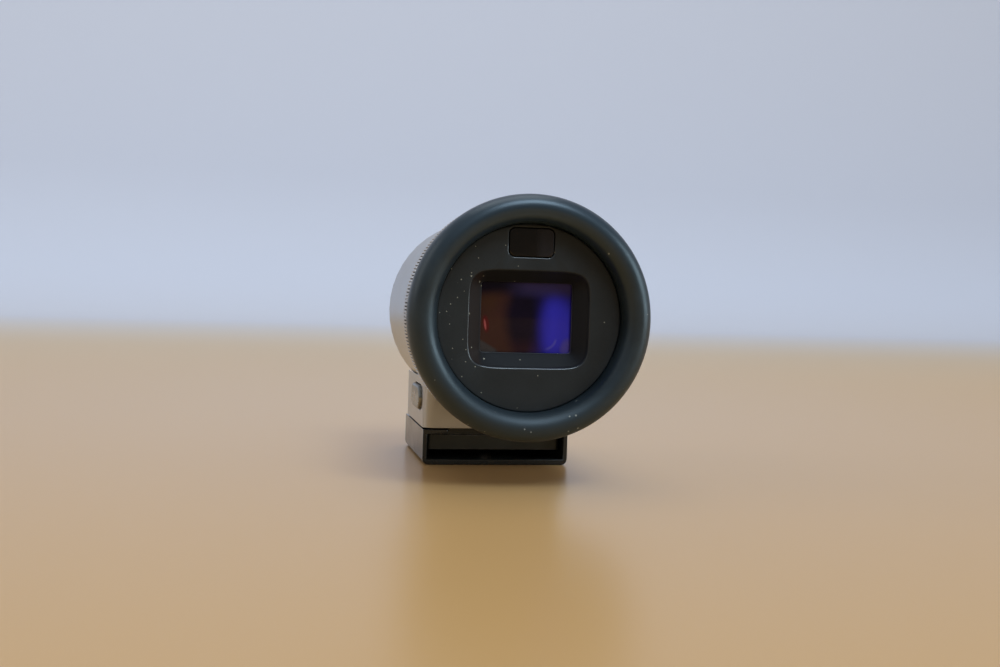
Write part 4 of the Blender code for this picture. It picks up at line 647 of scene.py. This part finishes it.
# %% [markdown]
# The light is soft and comes from all round. The world is a plain pale room, dimmer and warmer at eye level
# behind the camera, where the photographer stands, and cooler above. A broad lamp stands low on the part's
# right and another hangs above the camera: together they draw the long cool highlight on the rubber.
# One straight above rims the barrel, and a weak one on the left is for the silver. None is strong, so that
# each colour shows about as it is written. The lamp on the right is so low that it would glare on the desk
# in a view from the left, so light linking shades the sweep from it, as a studio does with a card. The view
# transform is Standard, which shows the colours without a film's curve.

# %% Soft light
world = bpy.data.worlds.new("soft_room")
bpy.context.scene.world = world
world.use_nodes = True
tree = world.node_tree
split = add(tree, "ShaderNodeSeparateXYZ")
feed(tree, add(tree, "ShaderNodeTexCoord").outputs["Generated"], split.inputs[0])
ROOM_BEHIND = (0.21, 0.185, 0.155, 1.0)
ROOM_ROUND = (0.46, 0.46, 0.475, 1.0)
ROOM_ABOVE = (0.32, 0.335, 0.36, 1.0)
level = mixed(tree, between(tree, split.outputs[1], -0.8, -0.1, 0.0, 1.0), ROOM_BEHIND, ROOM_ROUND)
colour = mixed(tree, between(tree, split.outputs[2], 0.05, 0.55, 0.0, 1.0), level, ROOM_ABOVE)
feed(tree, colour, tree.nodes["Background"].inputs["Color"])
tree.nodes["Background"].inputs["Strength"].default_value = 1.0


def soft_lamp(name, place, size, power, colour):
    """A square area lamp that looks at the middle of the part. Places and sizes are in metres."""
    data = bpy.data.lights.new(name, "AREA")
    data.shape = "SQUARE"
    data.size = size
    data.energy = power
    data.color = colour
    lamp = bpy.data.objects.new(name, data)
    bpy.context.scene.collection.objects.link(lamp)
    lamp.location = place
    lamp.rotation_euler = (Vector((0, 0, AXIS_Z)) - Vector(place)).to_track_quat("-Z", "Y").to_euler()
    print(name, power, "W")
    return lamp


lamp_right = soft_lamp("lamp_right", (0.82, -0.36, 0.20), 0.50, 3.5, (0.74, 0.91, 1.0))
soft_lamp("lamp_above_camera", (0.17, -0.50, 0.78), 0.42, 4.4, (0.68, 0.84, 1.0))
soft_lamp("lamp_top", (0.0, 0.15, 0.95), 0.70, 2.2, (0.93, 0.97, 1.0))
soft_lamp("lamp_left", (-0.80, 0.10, 0.45), 0.50, 0.8, (1.0, 0.98, 0.95))

shaded = bpy.data.collections.new("shaded_from_lamp_right")
shaded.objects.link(sweep)
shaded.collection_objects[0].light_linking.link_state = "EXCLUDE"
lamp_right.light_linking.receiver_collection = shaded
bpy.context.scene.view_settings.view_transform = "Standard"

# %% [markdown]
# Most CAD nodes have the right shape already and only need their finish. They arrive with every triangle
# on its own, so each gets three modifiers that leave the node itself untouched: a weld that joins the
# triangles, a small bevel that rounds what a real edge would round, and weighted normals that keep the flats
# flat. Turned, coiled and very thin pieces get an edge split instead of a bevel. Edge sizes are in
# millimetres.

# %% The solids that stay
SPLIT_ONLY = {
    "button_spring", "pin_spring", "ring_washer", "rear_lens", "middle_lens", "front_lens", "display_flex",
    "main_flex", "sensor_flex", "lens_spacer", "lens_retainer", "guide_pin_left", "guide_pin_right",
    "chassis_tube", "lens_carrier", "diopter_ring", "contact_comb",
}
EDGE_SIZES = {
    "foot_cover": 0.10, "base_block": 0.10, "foot_plate": 0.08, "barrel_shell": 0.08, "front_cap": 0.06,
}
SMALL_EDGE, SHARP_ANGLE = 0.04, radians(32)
OWN_FINISH = {"release_button": "button_silver"}


def dress(name, node):
    """Gives a CAD node its finish and the modifiers that smooth it."""
    mesh = node.data
    slot = mesh.materials[0].name.split(".")[0]
    node.material_slots[0].material = finishes[OWN_FINISH.get(name, slot)]
    if "custom_normal" in mesh.attributes:
        mesh.attributes.remove(mesh.attributes["custom_normal"])
    mesh.polygons.foreach_set("use_smooth", [True] * len(mesh.polygons))
    weld = node.modifiers.new("weld", "WELD")
    weld.merge_threshold = 0.002 * MM
    if name in SPLIT_ONLY:
        split = node.modifiers.new("split", "EDGE_SPLIT")
        split.split_angle = SHARP_ANGLE
        return
    bevel = node.modifiers.new("edge", "BEVEL")
    bevel.width = EDGE_SIZES.get(name, SMALL_EDGE) * MM
    bevel.segments = 2
    bevel.limit_method = "ANGLE"
    bevel.angle_limit = SHARP_ANGLE
    bevel.use_clamp_overlap = True
    normals = node.modifiers.new("even_normals", "WEIGHTED_NORMAL")
    normals.keep_sharp = True


for name in sorted(nodes):
    dress(name, nodes[name])
print("dressed", len(nodes), "solids")

# %% [markdown]
# The pieces that the camera sees closest are made again, finer. Round ones are turned, like work on a
# lathe: a profile of radius and distance runs once round the barrel's axis. `piece` then does what every new
# piece needs: smooth faces, its finish, the body that it rides on, and hiding the node that it stands for.

# %% Turning and finishing a piece
def bands(bm, rings):
    """Faces from each ring of vertices to the next. All have the same number of points."""
    for first, second in zip(rings, rings[1:]):
        for i in range(len(first)):
            j = (i + 1) % len(first)
            bm.faces.new((first[i], first[j], second[j], second[i]))


def turned(profile, steps, shift=None):
    """A closed profile turned round the barrel's axis. shift(column, row) moves a point out from the axis."""
    bm = bmesh.new()
    rings = []
    for row, (radius, y) in enumerate(profile):
        ring = []
        for column in range(steps):
            angle = 2 * pi * column / steps
            r = radius + (shift(column, row) if shift else 0.0)
            ring.append(bm.verts.new((r * cos(angle), y, AXIS_Z + r * sin(angle))))
        rings.append(ring)
    bands(bm, rings + rings[:1])
    return bm


def piece(name, bm, finish, body, replaced=None, sharp=40):
    """Turns a bmesh into a smooth-shaded piece in its finish, riding on its body."""
    bmesh.ops.recalc_face_normals(bm, faces=bm.faces)
    mesh = bpy.data.meshes.new(name)
    bm.to_mesh(mesh)
    bm.free()
    mesh.polygons.foreach_set("use_smooth", [True] * len(mesh.polygons))
    mesh.set_sharp_from_angle(angle=radians(sharp))
    mesh.materials.append(finishes[finish])
    obj = bpy.data.objects.new(name, mesh)
    bpy.context.scene.collection.objects.link(obj)
    normals = obj.modifiers.new("even_normals", "WEIGHTED_NORMAL")
    normals.keep_sharp = True
    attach(obj, body)
    if replaced:
        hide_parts(replaced)
    print(name, len(mesh.polygons), "faces")
    return obj


def arc(centre, radii, start, end, steps):
    """Points on an ellipse's arc, as (radius, distance)."""
    angles = [start + (end - start) * i / steps for i in range(steps + 1)]
    return [(centre[0] + radii[0] * cos(a), centre[1] + radii[1] * sin(a)) for a in angles]


print("a quarter round in four steps has", len(arc((0, 0), (1, 1), 0, pi / 2, 4)), "points")

# %% [markdown]
# The eyecup is one ring of moulded rubber. In section it is a fat tube at the eye, so that it is soft on the
# brow, with a skirt that narrows a little towards the barrel and a groove inside that grips the plate's lip.
# A turned profile of arcs gives exactly that, and 192 steps keep its outline round in a close view.

# %% The eyecup
CUP_BAND, RIM_DEPTH, SKIRT, TAPER = 3.45 * MM, 2.0 * MM, 3.0 * MM, 0.7 * MM
LIP_THICKNESS, SEAT = 1.0 * MM, 0.3 * MM
CUP_STEPS, SKIRT_STEPS, RIM_STEPS = 192, 12, 44
cup_r = cup_high.x
widest_y = cup_high.y - SKIRT
lip_r = (plate_high.x - plate_low.x) / 2
outer = arc((cup_r - TAPER, 0), (TAPER, SKIRT), pi / 2, 0, SKIRT_STEPS)
rim = arc((cup_r - CUP_BAND / 2, 0), (CUP_BAND / 2, RIM_DEPTH), 0, -pi, RIM_STEPS)
groove_y = SKIRT - LIP_THICKNESS - SEAT
inside = [(cup_r - CUP_BAND, groove_y), (lip_r + SEAT, groove_y), (lip_r + SEAT, SKIRT)]
profile = [(r, widest_y + y) for r, y in outer[:-1] + rim + inside]
piece("eyecup_rubber_ring", turned(profile, CUP_STEPS), "eyecup_rubber", "housing", "eyecup")

# %% [markdown]
# The face plate is a moulded disc with three features: a sloped recess that leads to the window, a small
# opening for the eye sensor, and a lip behind for the rubber. It could be cut with booleans, but then its
# edges would be hard. Instead every edge is laid out as a ring of points, with two or three rings close
# together where the real edge is rounded, and flat faces are filled between the rings.

# %% Rings of points and flat faces
def squircle(width, height, power, count):
    """Points round a rounded rectangle. A high power gives tight corners."""
    points = []
    for i in range(count):
        c, s = cos(2 * pi * i / count), sin(2 * pi * i / count)
        x = width / 2 * abs(c) ** (2 / power) * (1 if c >= 0 else -1)
        z = height / 2 * abs(s) ** (2 / power) * (1 if s >= 0 else -1)
        points.append((x, z))
    return points


def round_box(width, height, radius, steps):
    """Points round a rectangle with true round corners."""
    points = []
    for k, (sx, sz) in enumerate(((1, 1), (-1, 1), (-1, -1), (1, -1))):
        for i in range(steps + 1):
            a = pi / 2 * (k + i / steps)
            x, z = sx * (width / 2 - radius), sz * (height / 2 - radius)
            points.append((x + radius * cos(a), z + radius * sin(a)))
    return points


def circle(radius, count):
    """Points round a circle."""
    return [(radius * cos(2 * pi * i / count), radius * sin(2 * pi * i / count)) for i in range(count)]


def loop_at(bm, points, y, z=0.0):
    """A ring of vertices at a distance along the barrel. Points are (x, height) from the axis."""
    return [bm.verts.new((px, y, AXIS_Z + z + pz)) for px, pz in points]


def flat(bm, *loops):
    """Fills the flat face that these rings border."""
    edges = set()
    for loop in loops:
        for a, b in zip(loop, loop[1:] + loop[:1]):
            edges.add(bm.edges.get((a, b)) or bm.edges.new((a, b)))
    bmesh.ops.triangle_fill(bm, use_beauty=True, edges=list(edges))


print("a round box with corners of 3 steps has", len(round_box(2, 1, 0.2, 3)), "points")

# %% [markdown]
# The recess runs from a soft rectangle in the face to a sharper, smaller one at the window, so its walls
# slope and its lower corners show a crease, as on the real plate. The plate's radius and the sensor's size
# are worked out from the solids. The recess's own size is given, and it and the sensor's opening lie a few
# tenths of a millimetre from the solid's, where the photograph shows them.

# %% The face plate's sizes
EDGE, PLATE_CLEARANCE, SPIGOT_R = 0.10 * MM, 0.05 * MM, 10.0 * MM
PLATE_R = cup_r - CUP_BAND - PLATE_CLEARANCE
PLATE_STEPS, RECESS_STEPS, SLOPE_ROWS = 160, 144, 7
RECESS, RECESS_DROP = (14.6 * MM, 11.55 * MM, 6.0), 0.17 * MM
APERTURE = (SEEN_WIDTH, SEEN_HEIGHT, 30.0)
RECESS_DEPTH, WINDOW_LIP = 1.85 * MM, 0.3 * MM
face_y, back_y = plate_low.y, plate_high.y
lip_y = cup_high.y - LIP_THICKNESS
sensor_low, sensor_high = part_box("sensor_window")
SENSOR_GAP, SENSOR_UP, SENSOR_TRIM, SENSOR_WIDEN = 0.12 * MM, 0.35 * MM, 0.35 * MM, 0.12 * MM
SENSOR_CORNER, SENSOR_WALL = 0.8 * MM, 1.3 * MM
sensor_width = sensor_high.x - sensor_low.x + 2 * SENSOR_GAP + SENSOR_WIDEN
sensor_height = sensor_high.z - sensor_low.z + 2 * SENSOR_GAP - SENSOR_TRIM
sensor_z = (sensor_low.z + sensor_high.z) / 2 - AXIS_Z + SENSOR_UP
board_low, board_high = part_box("sensor_board")
print("plate", round(2 * PLATE_R / MM, 2), "mm across, sensor", round(sensor_width / MM, 2), "mm wide")

# %% [markdown]
# The plate is built from the outside inwards: first the round side with the lip behind it, then the recess.
# The rings at an edge are about 0.1 mm apart: that narrow rounding catches the light, and the plate's finish
# adds a painted highlight along it, to draw the thin bright line along the recess. Each pair of numbers in
# the recess's rows is a ring: how far it stands outside the opening, and how deep it lies. In the side's rows
# it is a radius and a place along the barrel.

# %% The plate's side and recess
bm = bmesh.new()
side = [
    (PLATE_R - 2 * EDGE, face_y), (PLATE_R - 0.7 * EDGE, face_y + 0.35 * EDGE),
    (PLATE_R, face_y + 1.6 * EDGE), (PLATE_R, lip_y),
    (lip_r - EDGE, lip_y), (lip_r, lip_y + EDGE), (lip_r, cup_high.y - EDGE), (lip_r - EDGE, cup_high.y),
    (SPIGOT_R, cup_high.y), (SPIGOT_R, back_y - EDGE), (SPIGOT_R - EDGE, back_y),
]
loops = [loop_at(bm, circle(r, PLATE_STEPS), y) for r, y in side]
bands(bm, loops)

recess_rows = [(2 * EDGE, 0.0), (0.9 * EDGE, 0.25 * EDGE), (0.25 * EDGE, 0.9 * EDGE), (0.0, 2 * EDGE)]
recess = []
for grow, depth in recess_rows:
    row = squircle(RECESS[0] + 2 * grow, RECESS[1] + 2 * grow, RECESS[2], RECESS_STEPS)
    recess.append(loop_at(bm, row, face_y + depth, -RECESS_DROP))
top, bottom = squircle(*RECESS, RECESS_STEPS), squircle(*APERTURE, RECESS_STEPS)
for k in range(1, SLOPE_ROWS + 1):
    t = k / SLOPE_ROWS
    row = [(a[0] * (1 - t) + b[0] * t, a[1] * (1 - t) + b[1] * t) for a, b in zip(top, bottom)]
    depth = 2 * EDGE + (RECESS_DEPTH - 2 * EDGE) * t
    recess.append(loop_at(bm, row, face_y + depth, (t - 1) * RECESS_DROP))
for inwards, depth in ((0.4 * EDGE, 0.7 * EDGE), (0.5 * EDGE, 1.2 * EDGE)):
    row = squircle(APERTURE[0] - inwards, APERTURE[1] - inwards, APERTURE[2], RECESS_STEPS)
    recess.append(loop_at(bm, row, face_y + RECESS_DEPTH + depth))
recess.append(loop_at(bm, row, face_y + RECESS_DEPTH + WINDOW_LIP))
bands(bm, recess)
print("side of", len(side), "rings, recess of", len(recess))

# %% [markdown]
# Behind the recess is a pocket for the window, and behind the sensor's opening a cell for its board. The flat
# faces are filled last, between the rings that border them, and the plate is whole.

# %% The plate's pockets and flat faces
pocket_size = (window_high.x - window_low.x + 2 * SEAT, window_high.z - window_low.z + 2 * SEAT)
pocket_front = face_y + RECESS_DEPTH + WINDOW_LIP
pocket = [loop_at(bm, round_box(*pocket_size, EDGE, 3), y) for y in (pocket_front, back_y)]
bands(bm, pocket)
sensor_rows = [
    (1.6 * EDGE, 0.0), (0.7 * EDGE, 0.25 * EDGE), (0.2 * EDGE, 0.8 * EDGE),
    (0.0, 1.6 * EDGE), (0.0, SENSOR_WALL),
]
sensor = []
for grow, depth in sensor_rows:
    row = round_box(sensor_width + 2 * grow, sensor_height + 2 * grow, SENSOR_CORNER + grow, 8)
    sensor.append(loop_at(bm, row, face_y + depth, sensor_z))
bands(bm, sensor)
cell_size = (board_high.x - board_low.x + 2 * SEAT, board_high.z - board_low.z + 2 * SEAT)
cell_z = (board_low.z + board_high.z) / 2 - AXIS_Z
cell = [loop_at(bm, round_box(*cell_size, EDGE, 3), y, cell_z) for y in (face_y + SENSOR_WALL, back_y)]
bands(bm, cell)
flat(bm, loops[0], recess[0], sensor[0])
flat(bm, recess[-1], pocket[0])
flat(bm, sensor[-1], cell[0])
flat(bm, loops[-1], pocket[1], cell[1])
plate = piece("face_plate", bm, "dark_plastic", "housing", "eyepiece_plate", sharp=50)

# %% [markdown]
# The plate's own finish starts from the same plastic. Three things set it apart in the photograph. First, a
# narrow line along the rounded edges: a painted highlight, lighter and glossier on the low and left ones,
# where the light catches them. Second, walls in the recess painted darker than the face as painted shade,
# with the left wall painted lighter and warmer as painted light. Third, more dust on the left than on the
# right. A second painted highlight runs along the lip at the window. All of it follows from where a point
# lies on the plate, so plain coordinates make the masks.

# %% The face plate's finish
material, tree, shader = start_finish(
    "plate_plastic", rgb(45, 48, 49), rgb(38, 41, 42), (0.48, 0.60), grain=7000.0, relief=0.007
)
x, y, z = place_parts(tree)
deep = moved(y, face_y)
# Painted shade: the recess walls are painted darker than the face.
recess_painted_shade = between(tree, deep, 1.6 * EDGE, 3.0 * EDGE, 0.0, 1.0)
over(tree, shader, recess_painted_shade, rgb(29, 30, 32), 0.42)
# Painted light: the left wall, which faces the light, is painted lighter and warmer.
left_wall_painted_light = both(recess_painted_shade, zone(x, -5.3 * MM, -6.1 * MM))
over(tree, shader, left_wall_painted_light, rgb(41, 34, 31), 0.42)
above = moved(z, AXIS_Z)
sensor_foot = sensor_z - sensor_height / 2
round_sensor = zone(above, sensor_foot - 3 * EDGE, sensor_foot - 2 * EDGE)
low_recess = between(tree, above, 1.5 * MM, 5.5 * MM, 1.0, 0.1)
low_sensor = both(round_sensor, between(tree, above, sensor_z - 0.7 * MM, sensor_z, 1.0, 0.1))
low_side = maths(tree, "MAXIMUM", low_recess, low_sensor)
# Painted highlight: the low and left rounded edges, where the light catches them, are painted lighter and
# glossier.
lit_side_painted_highlight = both(low_side, between(tree, x, 5.5 * MM, 7.0 * MM, 1.0, 0.45))
at_face = both(zone(deep, 0.05 * EDGE, 0.30 * EDGE), zone(deep, 2.2 * EDGE, 1.5 * EDGE))
edge_painted_highlight = both(at_face, lit_side_painted_highlight)
over(tree, shader, edge_painted_highlight, rgb(42, 46, 48), 0.30)
# Painted highlight: a lighter line along the lip at the foot of the window.
lip_start, lip_end = RECESS_DEPTH - 0.6 * EDGE, RECESS_DEPTH + 1.8 * EDGE
at_lip = both(zone(deep, lip_start, RECESS_DEPTH), zone(deep, lip_end, lip_end - 0.6 * EDGE))
lip_painted_highlight = both(at_lip, lit_side_painted_highlight)
over(tree, shader, lip_painted_highlight, rgb(62, 63, 66), 0.35)
gloss = maths(tree, "MAXIMUM", edge_painted_highlight, maths(tree, "MULTIPLY", lip_painted_highlight, 0.8))
feed(tree, gloss, shader.inputs["Coat Weight"])
shader.inputs["Coat Roughness"].default_value = 0.16
shader.inputs["Coat IOR"].default_value = 1.65
shader.inputs["Specular IOR Level"].default_value = 0.2
more_left = between(tree, x, 2 * MM, -9 * MM, 0.014, 0.13)
dusted(tree, shader, 2500.0, 0.27, more_left, rgb(150, 148, 134))
plate.data.materials[0] = material
print("plate finish done")

# %% [markdown]
# The window in the recess is the outer face of the eyepiece. It is very slightly domed, which a flat solid
# can't show: the dome bends reflections so that they slide across the glass as the part turns. The sensor's
# window is a small pane with round corners and a softened rim, built in rings as the plate is.

# %% The eyepiece window and the sensor's window
def domed_plate(low, high, dome, columns, rows):
    """A rectangular plate whose front bulges towards the eye by dome in its middle."""
    bm = bmesh.new()
    half_x, half_z = (high.x - low.x) / 2, (high.z - low.z) / 2
    mid_x, mid_z = (high.x + low.x) / 2, (high.z + low.z) / 2
    front, back = [], []
    for j in range(rows + 1):
        v = 2 * j / rows - 1
        line, behind = [], []
        for i in range(columns + 1):
            u = 2 * i / columns - 1
            bulge = dome * (1 - u * u) * (1 - v * v)
            x, z = mid_x + u * half_x, mid_z + v * half_z
            line.append(bm.verts.new((x, low.y - bulge, z)))
            behind.append(bm.verts.new((x, high.y, z)))
        front.append(line)
        back.append(behind)
    for j in range(rows):
        for i in range(columns):
            bm.faces.new((front[j][i], front[j][i + 1], front[j + 1][i + 1], front[j + 1][i]))
            bm.faces.new((back[j][i], back[j + 1][i], back[j + 1][i + 1], back[j][i + 1]))
    for i in range(columns):
        bm.faces.new((front[0][i], back[0][i], back[0][i + 1], front[0][i + 1]))
        bm.faces.new((front[rows][i], front[rows][i + 1], back[rows][i + 1], back[rows][i]))
    for j in range(rows):
        bm.faces.new((front[j][0], front[j + 1][0], back[j + 1][0], back[j][0]))
        bm.faces.new((front[j][columns], back[j][columns], back[j + 1][columns], front[j + 1][columns]))
    return bm


DOME, DOME_COLUMNS, DOME_ROWS = 0.3 * MM, 40, 32
window = domed_plate(window_low, window_high, DOME, DOME_COLUMNS, DOME_ROWS)
piece("domed_window", window, "window_glass", "housing", "eyepiece_window")

bm = bmesh.new()
pane_width, pane_height = sensor_width - 2 * SENSOR_GAP, sensor_height - 2 * SENSOR_GAP
PANE_CORNER, pane_thickness = 0.65 * MM, sensor_high.y - sensor_low.y
pane_rows = [(-0.8 * EDGE, 0.2 * EDGE), (-0.25 * EDGE, 0.4 * EDGE), (0.0, EDGE), (0.0, pane_thickness)]
pane = []
for grow, depth in pane_rows:
    row = round_box(pane_width + 2 * grow, pane_height + 2 * grow, PANE_CORNER + grow, 8)
    pane.append(loop_at(bm, row, sensor_low.y + depth, sensor_z))
bands(bm, pane)
flat(bm, pane[0])
flat(bm, pane[-1])
piece("sensor_pane", bm, "sensor_glass", "housing", "sensor_window")

# %% [markdown]
# The dioptre ring is turned by a fingertip, so its edge is cut into 216 fine ridges. Painted lines would
# vanish at a slant; real ridges catch light on one flank each. The solid ring stays, and a thin toothed
# band sits on it. Eight points make one ridge: five on its crest and three in its valley. The finish is
# close to the barrel's silver, with painted shade in the valleys, a darker colour found by how far a point
# lies from the axis.

# %% The knurled band
RIDGES, RIDGE_DEPTH, RIDGE_POINTS, CREST_POINTS = 216, 0.18 * MM, 8, 5
BAND_LENGTH, BAND_PROUD, BAND_FOOT, BAND_SHOULDER = 3.0 * MM, 0.16 * MM, 0.45 * MM, 0.28 * MM
FOOT_LAP, SHOULDER_LAP, CHAMFER, CHAMFER_FALL = 0.02 * MM, 0.03 * MM, 0.10 * MM, 0.09 * MM
ring_r = ring_high.x
rear_y, front_y = ring_low.y, ring_low.y + BAND_LENGTH
crest = ring_r + BAND_PROUD
rear_rows = [
    (ring_r - BAND_FOOT, rear_y - FOOT_LAP), (ring_r - BAND_SHOULDER, rear_y - SHOULDER_LAP),
    (crest - CHAMFER_FALL, rear_y + CHAMFER), (crest, rear_y + 2 * CHAMFER),
]
rows = rear_rows + [(r, rear_y + front_y - y) for r, y in reversed(rear_rows)]
CUT_ROWS = (3, 4)


def ridge(column, row):
    """The shift of a point: the valleys are cut into the two rows that stand out furthest."""
    return -RIDGE_DEPTH if row in CUT_ROWS and column % RIDGE_POINTS >= CREST_POINTS else 0.0


material, tree, shader = start_finish(
    "knurled_silver", rgb(196, 195, 193), rgb(182, 182, 181), (0.30, 0.38),
    grain=11000.0, relief=0.003, metallic=1.0,
)
x, y, z = place_parts(tree)
out = distance(tree, moved(z, AXIS_Z), x)
valley = zone(out, crest - 0.15 * RIDGE_DEPTH, crest - 0.8 * RIDGE_DEPTH)
rear_part = zone(y, rear_y + 0.12 * MM, rear_y + 0.25 * MM)
front_part = zone(y, front_y - 0.12 * MM, front_y - 0.25 * MM)
# Painted shade: the valleys are painted darker and rougher.
valley_painted_shade = maths(tree, "MULTIPLY", both(valley, both(rear_part, front_part)), 0.9)
over(tree, shader, valley_painted_shade, rgb(46, 48, 48), 0.6)
band_mesh = turned(rows, RIDGES * RIDGE_POINTS, ridge)
knurl = piece("ring_knurl", band_mesh, "satin_silver", "adjusting_ring", sharp=25)
knurl.data.materials[0] = material

# %% [markdown]
# Two small springs work inside the base: one pushes the button out and one pushes the lock pin down. Each is
# one steel wire that climbs round its axis, with its first and last turns lying close, as they do on a real
# compression spring.

# %% The lock's springs
WIRE, TURNS, TURN_STEPS, WIRE_SIDES = 0.2 * MM, 5, 24, 8
CLOSE_PITCH = 1.08  # wires from one closed turn to the next


def spring(name, node, axis):
    """A wire spring in a node's box, along X (0) or Z (2)."""
    low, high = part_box(node)
    middle, length = (low + high) / 2, high[axis] - low[axis]
    direction, side = Vector([float(i == axis) for i in range(3)]), Vector((0, 1, 0))
    across = direction.cross(side)
    close = CLOSE_PITCH * WIRE
    wide = (length - WIRE - 2 * close) / (TURNS - 2)
    radius = (high.y - low.y - WIRE) / 2
    bm = bmesh.new()
    rings = []
    for i in range(TURNS * TURN_STEPS + 1):
        turn = i / TURN_STEPS
        closed_turns = min(turn, 1) + max(0, turn - TURNS + 1)
        climb = WIRE / 2 + closed_turns * close + max(0, min(turn - 1, TURNS - 2)) * wide
        out = side * cos(2 * pi * turn) + across * sin(2 * pi * turn)
        centre = middle + direction * (climb - length / 2) + out * radius
        angles = [2 * pi * k / WIRE_SIDES for k in range(WIRE_SIDES)]
        rings.append([bm.verts.new(centre + (out * cos(a) + direction * sin(a)) * WIRE / 2) for a in angles])
    bands(bm, rings)
    bm.faces.new(rings[0])
    bm.faces.new(rings[-1])
    obj = piece(name, bm, "steel", "housing", node)
    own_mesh(obj)


spring("button_coil", "button_spring", 0)
spring("pin_coil", "pin_spring", 2)
